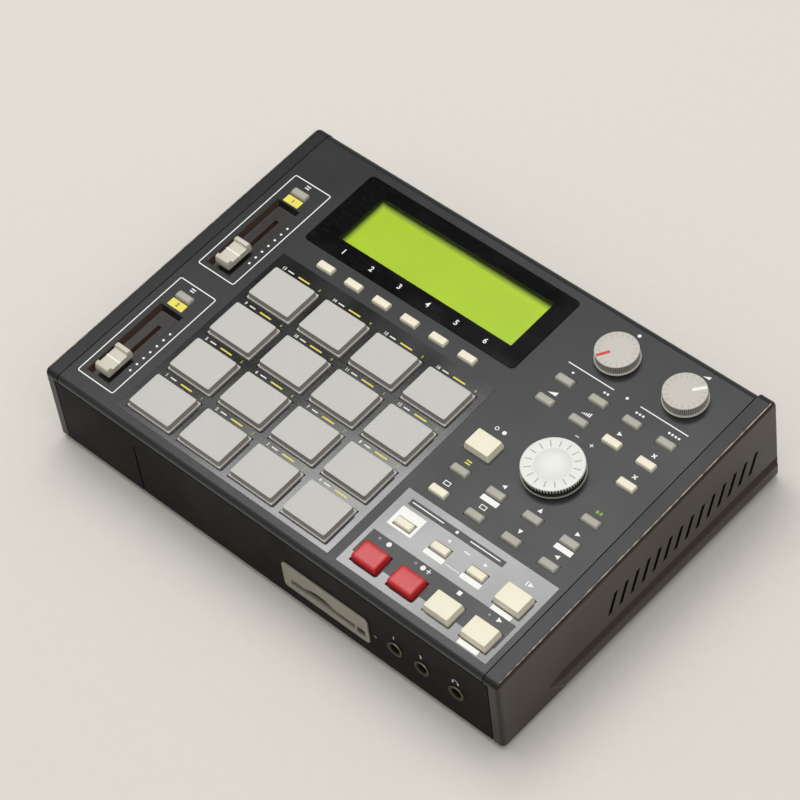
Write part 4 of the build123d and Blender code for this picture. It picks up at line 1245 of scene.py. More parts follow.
@dataclass
class KeyField:
    """The small keys on their strips and the six large single keys.

    Attributes:
        size: Width and length of a small key.
        big_size: Width and length of a large key.
        foot: Height of the underside of the caps and their web.
        web: Thickness of the web.
        sign_gap: Room between a small key's length and the sign above it.
        columns: Places of the four columns beside and below the dial.
        banks: Places of the bank and level keys.
        functions: Places of the keys under the display.
        crisp: Sections of a small key with crisp edges.
        soft: Sections of a small key with a soft top.
        big: Sections of a large key.
        pillow: Sections of a large red key.
        strips: Middle of each small key, by strip.
        kinds: Kind of each small key, by strip.
        single: Middle of each large key.
    """

    size: Pair = (11.2, 5.1)
    big_size: Pair = (17.5, 13.5)
    foot: float = -4.6
    web: float = 0.8
    web_width: float = 3.6
    sign_gap: float = 1.6
    columns: Places = tuple(run(63.5, 25.37, 4))
    banks: Places = tuple(run(69.0, 23.3, 4))
    functions: Places = tuple(run(-89.6, 21.25, 6))
    crisp: Sections = (
        (0.0, 0.0, 0.3, -4.6),
        (0.0, 0.0, 0.3, 0.55),
        (0.06, 0.06, 0.35, 0.68),
        (0.24, 0.26, 0.5, 1.45),
        (0.34, 0.4, 0.5, 1.7),
        (0.5, 0.62, 0.5, 1.84),
        (0.75, 1.0, 0.4, 1.9),
    )
    soft: Sections = (
        (0.0, 0.0, 0.4, -4.6),
        (0.0, 0.0, 0.4, 0.5),
        (0.08, 0.08, 0.5, 0.68),
        (0.26, 0.26, 0.9, 1.25),
        (0.46, 0.46, 1.1, 1.6),
        (0.8, 0.76, 1.1, 1.8),
        (1.2, 1.1, 0.9, 1.88),
        (1.8, 1.5, 0.5, 1.9),
    )
    big: Sections = (
        (0.0, 0.0, 0.5, -4.6),
        (0.0, 0.0, 0.5, 1.05),
        (0.08, 0.08, 0.6, 1.24),
        (0.62, 0.62, 0.7, 3.95),
        (0.7, 0.7, 0.7, 4.28),
        (0.84, 0.84, 0.65, 4.45),
        (1.1, 1.1, 0.6, 4.5),
    )
    pillow: Sections = (
        (0.0, 0.0, 1.3, -4.6),
        (0.0, 0.0, 1.3, 1.3),
        (0.06, 0.06, 1.3, 1.55),
        (0.3, 0.3, 1.5, 3.2),
        (0.5, 0.52, 1.6, 3.75),
        (0.85, 0.95, 1.7, 4.15),
        (1.4, 1.7, 1.7, 4.38),
        (2.3, 3.0, 1.4, 4.48),
        (3.2, 4.4, 1.0, 4.5),
    )
    red_keys: tuple[str, ...] = ("rec_key", "overdub_key")
    strips: dict[str, list[Pair]] = field(init=False)
    kinds: dict[str, list[KeyKind]] = field(init=False)
    single: dict[str, Pair] = field(init=False)

    def __post_init__(self) -> None:
        """Lay the keys out in columns, banks and rows, as the CAD does."""
        after_x, after_rows = -139.2, (179.0, 84.0)
        edit_x, edit_rows = 139.4, (135.4, 106.3)
        function_row, bank_row, level_row, locate_row = 148.2, 168.6, 152.1, 45.3
        upper, lower = 89.2, 72.2
        tap_place = (63.4, 108.6)
        transport_columns, transport_row, start_row = run(64.0, 25.4, 4), 18.6, 44.4
        cream, grey, soft = KeyKind.CREAM, KeyKind.GREY, KeyKind.SOFT
        first, second, third, fourth = self.columns
        self.strips = {
            "function_keys": [(x, function_row) for x in self.functions],
            "after_keys": [(after_x, v) for v in after_rows],
            "bank_keys": [(x, bank_row) for x in self.banks],
            "level_keys": [(x, level_row) for x in self.banks],
            "edit_keys": [(edit_x, v) for v in edit_rows],
            "mode_keys": [(first, upper), (first, lower)],
            "cursor_keys": [(second, upper), (fourth, upper), (third, upper), (third, lower)],
            "page_keys": [(second, lower), (fourth, lower)],
            "locate_keys": [(x, locate_row) for x in (first, second, third)],
        }
        self.kinds = {
            "function_keys": [cream] * 6,
            "after_keys": [soft] * 2,
            "bank_keys": [soft] * 4,
            "level_keys": [soft, soft, cream, cream],
            "edit_keys": [cream, soft],
            "mode_keys": [soft, cream],
            "cursor_keys": [grey] * 4,
            "page_keys": [soft] * 2,
            "locate_keys": [cream] * 3,
        }
        self.single = {"tap_key": tap_place, "play_start_key": (transport_columns[-1], start_row)}
        for name, x in zip(("rec_key", "overdub_key", "stop_key", "play_key"), transport_columns):
            self.single[name] = (x, transport_row)

    def sign_rise(self) -> float:
        """How far a sign stands above the middle of a small key."""
        return self.size[1] + self.sign_gap

    def web_boxes(self, name: str) -> list[Box]:
        """The boxes of the thin web that joins the caps of a strip under the panel.

        Args:
            name: Name of the strip.

        Returns:
            One box for each run between neighbouring caps.
        """
        half = self.web_width / 2
        centres = self.strips[name]
        if name == "after_keys":
            rail = -153.0
            boxes = [(rail - half, v - half, x + half, v + half) for x, v in centres]
            return boxes + [(rail - half, centres[1][1] - half, rail + half, centres[0][1] + half)]
        if name == "page_keys":
            rail = 65.5
            boxes = [(x - half, rail - half, x + half, v + half) for x, v in centres]
            return boxes + [(centres[0][0], rail - half, centres[1][0], rail + half)]
        return [
            (min(a[0], b[0]) - half, min(a[1], b[1]) - half, max(a[0], b[0]) + half, max(a[1], b[1]) + half)
            for a, b in zip(centres, centres[1:])
        ]

    def build(self, finishes: Finishes) -> None:
        """Make the strips, one piece for each colour on them, and the large keys.

        Args:
            finishes: The materials.
        """
        materials = {
            KeyKind.CREAM: (finishes.cream, "cream_key"),
            KeyKind.GREY: (finishes.grey, "grey_key"),
            KeyKind.SOFT: (finishes.grey, "grey_key"),
            KeyKind.RED: (finishes.red, "red_key"),
        }
        for name, centres in self.strips.items():
            kinds = self.kinds[name]
            for kind in dict.fromkeys(kinds):
                material, slot = materials[kind]
                caps = Shape()
                for centre, cap_kind in zip(centres, kinds):
                    if cap_kind is kind:
                        caps.cap(self.size, self.soft if kind is KeyKind.SOFT else self.crisp, centre)
                first = kind is kinds[0]
                if first:
                    for box in self.web_boxes(name):
                        caps.plate(box, self.foot, self.foot + self.web)
                caps.move(PANEL.at())
                caps.build(f"{name}_{kind.value}", name, material, slot, [name] if first else [])
        for name, centre in self.single.items():
            red = name in self.red_keys
            material, slot = materials[KeyKind.RED if red else KeyKind.CREAM]
            key = Shape()
            key.cap(self.big_size, self.pillow if red else self.big, centre)
            key.move(PANEL.at()).build(f"{name}_cap", name, material, slot, [name])


@dataclass
class Faders:
    """Two fader caps with end ridges, a saddle and a white line, their wells, and the dots beside them.

    Attributes:
        rests: Node of each cap and its place up the slope at rest.
        taper: Lean of each side of a cap, from foot to top.
        half_profile: Half of a cap's side view, as (along, height) points.
        layers: Rings across a cap: share of its half width, and share by which its side view draws in.
        saddle: Height of a cap's saddle.
        foot: Height of its underside.
        top: Height of its ridges.
        wells: Name of each well and its middle up the slope.
        floor_level: Underside and top of a well's floor plate.
        stem: Box of the lever under a cap.
        edge: Inset, width and drop of the white line's ends on a cap's sides.
        dot_starts: Place of the first dot of the lower and the upper row.
    """

    x: float = -139.0
    rests: tuple[tuple[str, float], ...] = (("upper_fader_cap", 123.6), ("lower_fader_cap", 27.8))
    width: float = 10.5
    taper: float = 0.35
    half_profile: Pairs = (
        (-9.6, -1.0), (-9.9, 0.6), (-9.7, 1.8), (-9.3, 4.3), (-9.0, 4.75), (-8.6, 4.9), (-7.0, 4.9),
        (-6.6, 4.7), (-6.3, 3.1), (-5.9, 2.75), (-0.8, 2.7),
    )
    layers: Pairs = ((-1.0, 0.05), (-0.94, 0.0), (0.94, 0.0), (1.0, 0.05))
    saddle: float = 2.7
    foot: float = -1.0
    top: float = 4.9
    wells: tuple[tuple[str, float], ...] = (("upper_fader_well", 140.0), ("lower_fader_well", 44.2))
    well_top: Pair = (18.1, 58.9)
    well_floor: Pair = (14.6, 55.4)
    well_depth: float = 3.95
    well_rim: float = 0.25
    well_corner: float = 1.4
    floor_level: Pair = (-4.06, -3.9)
    slot: Pair = (2.6, 37.4)
    stem: Box = (-0.6, -1.5, 0.6, 1.5)
    stem_foot: float = -10.2
    stem_lap: float = 0.2
    line: float = 0.9
    line_sunk: float = 0.2
    line_proud: float = 0.06
    edge: Triple = (0.2, 0.3, 2.0)
    dot_x: float = -127.5
    dot_starts: Pair = (29.0, 124.5)
    dot_pitch: float = 5.25
    dots: int = 7
    dot_size: Triple = (1.5, 1.5, 0.08)
    dot_sides: int = 12

    def profile(self, shrink: float) -> list[Pair]:
        """A cap's side view, drawn in towards its middle.

        Args:
            shrink: Share by which it is drawn in.

        Returns:
            The (along, height) points.
        """
        middle = self.saddle / 2
        half = list(self.half_profile)
        whole = half + [(-v, h) for v, h in reversed(half)]
        return [(v * (1 - shrink), middle + (h - middle) * (1 - shrink)) for v, h in whole]

    def cap(self, node: str, v: float, finishes: Finishes) -> None:
        """Make one cap and its white line.

        Args:
            node: CAD node of the cap.
            v: Its place up the slope at rest.
            finishes: The materials.
        """
        place = PANEL.at(self.x, v)
        half = self.width / 2
        rings = []
        for share, shrink in self.layers:
            ring = []
            for along, height in self.profile(shrink):
                lean = self.taper * (height - self.foot) / (self.top - self.foot)
                ring.append(Vector((share * (half - lean), along, height)))
            rings.append(ring)
        grip = Shape()
        grip.loft(rings)
        grip.plate(self.stem, self.stem_foot, self.foot + self.stem_lap)
        grip.move(place).build(f"{node}_grip", node, finishes.fader, "fader_grey", [node])
        mark = Shape()
        reach, top = half - self.taper, self.saddle + self.line_proud
        mark.plate((-reach, -self.line / 2, reach, self.line / 2), self.saddle - self.line_sunk, top)
        inset, width, drop = self.edge
        for side in (-1, 1):
            mark.plate(box_around((side * (half - inset), 0.0), (width, self.line)), self.saddle - drop, top)
        mark.move(place).build(f"{node}_line", node, finishes.white, "fader_grey")

    def well(self, name: str, v: float, finishes: Finishes) -> None:
        """Make the lining of one well.

        Args:
            name: Name of the piece.
            v: Place of its middle up the slope.
            finishes: The materials.
        """
        rim = (self.well_top[0] - 2 * self.well_rim, self.well_top[1] - 2 * self.well_rim)
        rings = [
            rounded(self.well_top, self.well_corner, -self.well_depth),
            rounded(self.well_top, self.well_corner, 0.0),
            rounded(rim, self.well_corner, 0.0),
            rounded(self.well_floor, self.well_corner, -self.well_depth),
        ]
        well = Shape()
        well.loft(rings, closed=True)
        floor = box_around((0.0, 0.0), self.well_floor)
        well.plate(floor, *self.floor_level, [box_around((0.0, 0.0), self.slot)])
        well.move(PANEL.at(self.x, v)).build(name, CASE_BODY, finishes.well, "panel_charcoal")

    def build(self, finishes: Finishes) -> None:
        """Make the caps, their wells and the dots.

        Args:
            finishes: The materials.
        """
        for node, v in self.rests:
            self.cap(node, v, finishes)
        for name, v in self.wells:
            self.well(name, v, finishes)
        for name, start in zip(("lower_fader_dots", "upper_fader_dots"), self.dot_starts):
            dots = REPEATS.make(
                Path.ROW, Stamp.ROD, self.dots, self.dot_pitch, self.dot_size, finishes.white, self.dot_sides
            )
            dots.move(PANEL.at(self.dot_x, start)).build(name, CASE_BODY, finishes.white)


@dataclass
class Knob:
    """A ribbed knob with a coloured pointer and faint ticks on its top."""

    node: str
    centre: Pair
    pointer_turn: float
    ribs: int = 76
    ticks: int = 20
    core: Pairs = ((3.0, -9.0), (3.0, 0.8), (11.95, 0.8), (11.95, 6.9))
    rim: Pairs = ((13.0, 0.6), (13.0, 1.0), (12.75, 1.2), (12.3, 1.45), (11.8, 1.45), (11.8, 0.6))
    lid: Pairs = ((12.3, 6.55), (12.4, 6.65), (12.4, 7.0), (12.3, 7.14), (12.05, 7.2), (6.0, 7.2))
    rib_ring: float = 12.1
    rib_size: Triple = (0.66, 0.62, 5.3)
    rib_middle: float = 4.0
    tick_ring: float = 10.4
    tick_size: Triple = (3.0, 0.4, 0.06)
    tick_middle: float = 7.19
    pointer: Box = (-0.95, 3.9, 0.95, 11.8)
    pointer_levels: Pair = (7.1, 7.23)

    def build(self, finishes: Finishes, pointer: Material) -> None:
        """Make the knob.

        Args:
            finishes: The materials.
            pointer: Material of the pointer line.
        """
        place = PANEL.at(*self.centre, 0.0, self.pointer_turn)
        # The core shows only between the ribs; its darker grey is painted shade in the gaps.
        core = Shape()
        core.lathe(self.core)
        core.move(place).build(f"{self.node}_core", self.node, finishes.rib_gap_shade, "knob_grey", [self.node])
        shell = Shape()
        shell.lathe(self.rim, closed=True)
        shell.lathe(self.lid)
        shell.move(place).build(f"{self.node}_shell", self.node, finishes.knob, "knob_grey")
        ribs = REPEATS.make(Path.RING, Stamp.ROD, self.ribs, self.rib_ring, self.rib_size, finishes.knob)
        ribs.move(place @ Matrix.Translation((0, 0, self.rib_middle)))
        ribs.build(f"{self.node}_ribs", self.node, finishes.knob, "knob_grey")
        spread = (self.ticks, self.tick_ring, self.tick_size)
        ticks = REPEATS.make(Path.RING, Stamp.BLOCK, *spread, finishes.tick)
        ticks.move(place @ Matrix.Translation((0, 0, self.tick_middle)))
        ticks.build(f"{self.node}_ticks", self.node, finishes.tick)
        line = Shape()
        line.plate(self.pointer, *self.pointer_levels)
        line.move(place).build(f"{self.node}_pointer", self.node, pointer)


@dataclass
class DataDial:
    """The silver data dial: a toothed edge, a ring of ticks and a finger dish."""

    node: str = "data_dial"
    centre: Pair = (103.3, 119.0)
    teeth: int = 66
    ticks: int = 16
    lid: Pairs = (
        (16.0, 4.5), (16.0, 6.5), (17.25, 6.5), (17.45, 6.6), (17.45, 6.75), (17.25, 6.92), (16.9, 7.0),
        (10.5, 7.0), (10.3, 6.95), (10.0, 6.75), (9.0, 6.16), (7.5, 5.6), (5.5, 5.1), (3.5, 4.82),
        (1.5, 4.7),
    )
    skirt: Pairs = (
        (3.0, -5.9), (3.0, 0.9), (17.3, 0.9), (17.0, 1.3), (16.7, 1.6), (16.6, 6.45), (16.2, 6.45),
        (16.2, 4.4),
    )
    base: Pairs = ((18.0, 0.6), (18.0, 0.9), (17.8, 1.05), (17.1, 1.05), (17.1, 0.6))
    sides: int = 128
    tooth_ring: float = 17.2
    tooth_size: Triple = (0.9, 0.85, 1.9)
    tooth_middle: float = 5.65
    rib_ring: float = 16.9
    rib_size: Triple = (0.9, 0.75, 3.4)
    rib_middle: float = 3.0
    tick_ring: float = 13.4
    tick_size: Triple = (4.0, 0.65, 0.06)
    tick_middle: float = 7.0

    def build(self, finishes: Finishes) -> None:
        """Make the dial: a dark skirt on a light base ring, and a silver lid with teeth and ticks.

        Args:
            finishes: The materials.
        """
        place = PANEL.at(*self.centre)
        skirt = Shape()
        skirt.lathe(self.skirt)
        skirt.move(place).build(f"{self.node}_skirt", self.node, finishes.skirt, "dial_silver", [self.node])
        base = Shape()
        base.lathe(self.base, self.sides, closed=True)
        base.move(place).build(f"{self.node}_base", self.node, finishes.bezel, "dial_silver")
        lid = Shape()
        lid.lathe(self.lid, self.sides)
        lid.move(place).build(f"{self.node}_lid", self.node, finishes.dial, "dial_silver")
        rod, block = Stamp.ROD, Stamp.BLOCK
        silver, dark = finishes.dial, finishes.skirt
        repeats = (
            ("teeth", rod, self.teeth, self.tooth_ring, self.tooth_size, self.tooth_middle, silver),
            ("ribs", rod, self.teeth, self.rib_ring, self.rib_size, self.rib_middle, dark),
            ("ticks", block, self.ticks, self.tick_ring, self.tick_size, self.tick_middle, finishes.tick),
        )
        for name, stamp, count, radius, size, middle, material in repeats:
            ring = REPEATS.make(Path.RING, stamp, count, radius, size, material)
            ring.move(place @ Matrix.Translation((0, 0, middle)))
            ring.build(f"{self.node}_{name}", self.node, material, "dial_silver")


@dataclass
class Jacks:
    """The jacks of the front and the rear: a thin brass ring round a black bush with its bore."""

    front: Places = (94.0, 113.0, 137.0)
    front_z: float = 26.5
    rear: Places = (50.0, 75.0, 100.0, 125.0)
    rear_z: float = 32.0
    ring: Pairs = ((4.95, -0.3), (4.95, 0.5), (4.8, 0.7), (4.6, 0.7), (4.42, 0.5), (4.42, -0.3))
    bush: Pairs = ((4.4, -27.0), (4.4, -0.1), (4.3, 0.25), (3.5, 0.25), (3.25, 0.0), (3.25, -26.0))
    body: Pair = (15.0, 15.0)
    body_sections: Sections = (
        (0.6, 0.6, 0.8, -29.7),
        (0.0, 0.0, 0.8, -29.1),
        (0.0, 0.0, 0.8, -3.3),
        (0.6, 0.6, 0.8, -2.7),
    )
    sides: int = 48

    def places(self) -> list[Matrix]:
        """Where each jack sits, with its axis outwards."""
        places = [Face.FRONT.at(x, self.front_z) for x in self.front]
        return places + [Face.REAR.at(x, self.rear_z) for x in self.rear]

    def build(self, finishes: Finishes) -> None:
        """Make the rings and the bodies.

        Args:
            finishes: The materials.
        """
        rings, bodies = Shape(), Shape()
        for place in self.places():
            ring = Shape()
            ring.lathe(self.ring, self.sides, closed=True)
            rings.absorb(ring.move(place))
            body = Shape()
            body.lathe(self.bush, self.sides)
            body.cap(self.body, self.body_sections)
            bodies.absorb(body.move(place))
        bodies.build("jack_bodies", CASE_BODY, finishes.socket, "socket_black", ["audio_jacks"])
        rings.build("jack_rings", CASE_BODY, finishes.brass, "jack_brass")


class Icon(Enum):
    """A plain sign printed beside a key."""

    LEFT = "left"
    RIGHT = "right"
    UP = "up"
    DOWN = "down"
    DISC = "disc"
    STOP = "stop"
    BARS = "bars"
    SQUARE = "square"
    CROSS = "cross"
    PLUS = "plus"
    MINUS = "minus"
    WEDGE = "wedge"
    STEPS = "steps"
    RING = "ring"


@dataclass
class Prints:
    """The plain numbers, lines and signs printed on the panel, one mesh for each colour.

    Attributes:
        films: The films that some of the prints are on.
        depth: How far a print stands out.
        sunk: How far it reaches into the surface.
        stroke: Width of a sign's lines, as a share of its height.
        sign_sides: Sides of a round sign.
        sign_size: Height of a sign above a key.
        small_size: Height of a small sign.
        knob_rise: How far a sign stands above the middle of a knob.
    """

    films: Films
    depth: float = 0.03
    sunk: float = 0.03
    stroke: float = 0.18
    sign_sides: int = 20
    sign_size: float = 2.8
    small_size: float = 2.2
    knob_rise: float = 18.6

    def __post_init__(self) -> None:
        """Start one mesh for each print colour."""
        self.white, self.yellow, self.green, self.dark = Shape(), Shape(), Shape(), Shape()
        self.film_top = self.films.thickness
        self.band_top = self.films.thickness + self.films.print_depth

    def levels(self, base: float) -> Pair:
        """The underside and top of a print on a surface at a height."""
        return (base - self.sunk, base + self.depth)

    def outline(self, icon: Icon, size: float) -> list[Pair]:
        """The corners of a sign that is one straight-sided patch.

        Args:
            icon: Which sign.
            size: Its height.

        Returns:
            The corners about its middle, or none where the sign is of another kind.
        """
        half, thin = size / 2, size * self.stroke
        cross = [(half, half - thin), (thin, 0), (half, thin - half), (half - thin, -half)]
        cross += [(0, -thin), (thin - half, -half), (-half, thin - half), (-thin, 0)]
        cross += [(-half, half - thin), (thin - half, half), (0, thin), (half - thin, half)]
        corners = {
            Icon.LEFT: [(-half, 0), (half, -half), (half, half)],
            Icon.RIGHT: [(half, 0), (-half, half), (-half, -half)],
            Icon.UP: [(0, half), (-half, -half), (half, -half)],
            Icon.DOWN: [(0, -half), (half, half), (-half, half)],
            Icon.WEDGE: [(-size, -half), (size, -half), (size, half)],
            Icon.STOP: [(-half, -half), (half, -half), (half, half), (-half, half)],
            Icon.CROSS: cross[::-1],
        }
        return corners.get(icon, [])

    def strokes(self, icon: Icon, size: float) -> list[Box]:
        """The boxes of a sign that is made of bars.

        Args:
            icon: Which sign.
            size: Its height.

        Returns:
            The boxes about its middle, or none where the sign is of another kind.
        """
        bar_reach, bar_rise = 0.8 * size, 0.4 * size
        steps = (-2, -1, 0, 1, 2)
        half, thin = size / 2, size * self.stroke
        pitch, width = 2.4 * thin, 1.5 * thin
        edge = thin / 2
        level = (-half, -edge, half, edge)
        boxes = {
            Icon.MINUS: [level],
            Icon.PLUS: [level, (-edge, edge, edge, half), (-edge, -half, edge, -edge)],
            Icon.BARS: [(-bar_reach, v - thin, bar_reach, v + thin) for v in (-bar_rise, bar_rise)],
            Icon.STEPS: [
                (step * pitch, -half, step * pitch + width, -half + size * (step + 3) / len(steps))
                for step in steps
            ],
        }
        return boxes.get(icon, [])

    def sign(self, shape: Shape, icon: Icon, place: Pair, size: float, base: float = 0.0) -> None:
        """Print a sign.

        Args:
            shape: The mesh of its colour.
            icon: Which sign.
            place: Its middle.
            size: Its height.
            base: Height of the surface that it is on.
        """
        low, high = self.levels(base)
        x, v = place
        half, thin = size / 2, size * self.stroke
        outline = self.outline(icon, size)
        if outline:
            shape.prism([(x + a, v + b) for a, b in outline], low, high)
        for a, b, c, d in self.strokes(icon, size):
            shape.plate((x + a, v + b, x + c, v + d), low, high)
        if icon is Icon.DISC:
            shape.loft([circle(half, level, self.sign_sides, place) for level in (low, high)])
        elif icon is Icon.RING:
            outer, inner = (circle(radius, low, self.sign_sides, place) for radius in (half, half - thin))
            shape.hoop(outer, inner, high - low)
        elif icon is Icon.SQUARE:
            width = 1.5 * size
            hole = box_around(place, (width - 2 * thin, size - 2 * thin))
            shape.plate(box_around(place, (width, size)), low, high, [hole])

    def pads(self, pads: PadGrid) -> None:
        """Print a number, a rule and a short accent above each pad, and a second figure at its right.

        Args:
            pads: The pads.
        """
        row, edge = 15.7, 13.6
        figure, small_figure = 2.1, 1.785
        rule_x, rule = -8.4, (4.4, 0.7)
        accent_x, accent = 1.6, (8.6, 0.9)
        low, high = self.levels(self.film_top)
        for number, (x, v) in enumerate(pads.centres(), start=1):
            self.white.words(str(number), figure, (x - edge, v + row), low, high)
            self.white.plate(box_around((x + rule_x, v + row), rule), low, high)
            self.yellow.plate(box_around((x + accent_x, v + row), accent), low, high)
            self.green.words(str(number % 10), small_figure, (x + edge, v + row), low, high)

    def faders(self, keys: KeyField) -> None:
        """Print the frame around each fader, and the yellow patch and sign by its key.

        Args:
            keys: The keys, two of which stand in the frames.
        """
        left, right = -152.0, -123.6
        frames = ((107.2, 189.0), (11.2, 94.0))
        corner, line = 1.5, 0.65
        patch, patch_drop, figure, overlap = (11.3, 5.4), 6.0, 2.6, 0.01
        bars, bars_rise = 2.0, 6.6
        low, high = self.levels(0.0)
        for number, ((start, end), (x, v)) in enumerate(zip(frames, keys.strips["after_keys"]), start=1):
            centre = ((left + right) / 2, (start + end) / 2)
            size = (right - left, end - start)
            inner = (size[0] - 2 * line, size[1] - 2 * line)
            self.white.hoop(
                rounded(size, corner, low, centre), rounded(inner, corner - line, low, centre), high - low
            )
            middle = (x, v - patch_drop)
            self.yellow.plate(box_around(middle, patch), low, high)
            self.dark.words(str(number), figure, middle, high - overlap, high + self.depth)
            self.sign(self.white, Icon.BARS, (x, v + bars_rise), bars)

    def function_keys(self, keys: KeyField, display: Display) -> None:
        """Print a number over each function key, on the display window.

        Args:
            keys: The keys.
            display: The window.
        """
        figure, row = 3.7, 162.8
        low, high = self.levels(display.front)
        for number, (x, _) in enumerate(keys.strips["function_keys"], start=1):
            self.white.words(str(number), figure, (x, row), low, high)

    def rule(self, ends: Pairs, v: float, dot: Pair, base: float) -> None:
        """Print a broken rule with a dot in its gap.

        Args:
            ends: Start and end of each stretch.
            v: Place of the rule's lower edge up the slope.
            dot: Place of the dot across the panel, and its size.
            base: Height of the surface that it is on.
        """
        line, dot_rise = 0.65, 0.3
        low, high = self.levels(base)
        for start, end in ends:
            self.white.plate((start, v, end, v + line), low, high)
        x, size = dot
        self.sign(self.white, Icon.DISC, (x, v + dot_rise), size, base)

    def banks(self, keys: KeyField) -> None:
        """Print one to four dots over the bank keys, and the rule over their row.

        Args:
            keys: The keys.
        """
        pitch, size = 2.2, 1.5
        stretches, rule_row, rule_dot = ((62.25, 94.1), (112.5, 145.0)), 179.3, (103.3, 1.8)
        for count, (x, v) in enumerate(keys.strips["bank_keys"], start=1):
            for dot in run(x - (count - 1) / 2 * pitch, pitch, count):
                self.sign(self.white, Icon.DISC, (dot, v + keys.sign_rise()), size)
        self.rule(stretches, rule_row, rule_dot, 0.0)

    def key_signs(self, keys: KeyField) -> None:
        """Print a plain sign over each of the other small keys beside and below the dial.

        Args:
            keys: The keys.
        """
        rise = keys.sign_rise()
        signs = {
            "level_keys": (Icon.WEDGE, Icon.STEPS, Icon.RIGHT, Icon.CROSS),
            "edit_keys": (Icon.CROSS, None),
            "mode_keys": (None, Icon.SQUARE),
            "cursor_keys": (Icon.LEFT, Icon.RIGHT, Icon.UP, Icon.DOWN),
            "page_keys": (Icon.SQUARE, Icon.LEFT),
        }
        for name, icons in signs.items():
            for icon, (x, v) in zip(icons, keys.strips[name]):
                if icon:
                    self.sign(self.white, icon, (x, v + rise), self.sign_size)
        x, v = keys.strips["edit_keys"][1]
        self.green.words("0-9", self.small_size, (x, v + rise), *self.levels(0.0))
        x, v = keys.strips["mode_keys"][0]
        self.sign(self.yellow, Icon.BARS, (x, v + rise), self.small_size)

    def turning_signs(self, keys: KeyField, dial: DataDial, knobs: Sequence[Knob]) -> None:
        """Print the signs over the tap key, the dial and the knobs, and two tags under cursor keys.

        Args:
            keys: The keys.
            dial: The data dial.
            knobs: The gain and volume knobs.
        """
        size, tap_offset, dial_offset = 2.6, (2.6, 13.6), (5.0, 25.0)
        tag, tag_row = (11.5, 3.4), 84.2
        pairs = (
            (keys.single["tap_key"], tap_offset, (Icon.RING, Icon.DISC)),
            (dial.centre, dial_offset, (Icon.MINUS, Icon.PLUS)),
        )
        for (x, v), (reach, rise), icons in pairs:
            for side, icon in zip((-1, 1), icons):
                self.sign(self.white, icon, (x + side * reach, v + rise), size)
        for knob, icon in zip(knobs, (Icon.DISC, Icon.WEDGE)):
            x, v = knob.centre
            self.sign(self.white, icon, (x, v + self.knob_rise), self.small_size)
        for x, _ in keys.strips["cursor_keys"][:2]:
            self.white.plate(box_around((x, tag_row), tag), *self.levels(0.0))

    def locate(self, keys: KeyField) -> None:
        """Print the rule, the frame, the tags and the signs around the locate keys.

        Args:
            keys: The keys.
        """
        base = self.film_top
        frame, frame_gap = (54.75, 40.6, 71.6, 54.1), 1.2
        tag, tag_row = (13.5, 3.2), 40.0
        link, link_inset = (39.8, 40.2), 8.0
        start_tag, start_tag_x, start_tag_drop = (13.5, 3.0), 139.6, 9.2
        dash = 4.0
        stretches, rule_row, rule_dot = ((57.25, 79.4), (97.9, 118.5)), 58.3, (88.65, 1.9)
        self.rule(stretches, rule_row, rule_dot, self.band_top)
        low, high = self.levels(base)
        first, second, third = keys.strips["locate_keys"]
        hole = box_around(first, (keys.size[0] + frame_gap, keys.size[1] + frame_gap))
        self.white.plate(frame, low, high, [hole])
        for x, _ in (second, third):
            self.white.plate(box_around((x, tag_row), tag), low, high)
        self.white.plate((second[0] + link_inset, link[0], third[0] - link_inset, link[1]), low, high)
        for _, v in (keys.single["play_start_key"], keys.single["play_key"]):
            self.white.plate(box_around((start_tag_x, v - start_tag_drop), start_tag), low, high)
        row = second[1] + keys.sign_rise()
        self.sign(self.white, Icon.LEFT, (second[0], row), self.small_size, base)
        self.sign(self.white, Icon.RIGHT, (third[0], row), self.small_size, base)
        self.sign(self.white, Icon.MINUS, ((second[0] + third[0]) / 2, row), dash, base)

    def transport(self, keys: KeyField) -> None:
        """Print the signs over the large keys.

        Args:
            keys: The keys.
        """
        size, stop_size = 3.0, 2.6
        row_rise, start_rise = 12.4, 12.6
        bar, bar_x, arrow_x = (0.7, 3.0), -2.0, 0.8
        signs = (
            ("rec_key", Icon.DISC, 1.5, size),
            ("overdub_key", Icon.DISC, 0.0, size),
            ("overdub_key", Icon.PLUS, 4.0, size),
            ("stop_key", Icon.STOP, 0.0, stop_size),
            ("play_key", Icon.RIGHT, 2.0, size),
        )
        for name, icon, offset, height in signs:
            x, v = keys.single[name]
            self.sign(self.white, icon, (x + offset, v + row_rise), height, self.band_top)
        x, v = keys.single["play_start_key"]
        row = v + start_rise
        self.white.plate(box_around((x + bar_x, row), bar), *self.levels(self.film_top))
        self.sign(self.white, Icon.RIGHT, (x + arrow_x, row), size, self.film_top)

    def build(self, finishes: Finishes) -> None:
        """Turn the prints into one piece for each colour.

        Args:
            finishes: The materials.
        """
        looks = {
            "print_white": (self.white, finishes.white),
            "print_yellow": (self.yellow, finishes.yellow),
            "print_green": (self.green, finishes.green),
            "print_dark": (self.dark, finishes.mask),
        }
        for name, (shape, material) in looks.items():
            shape.move(PANEL.at()).build(name, CASE_BODY, material)


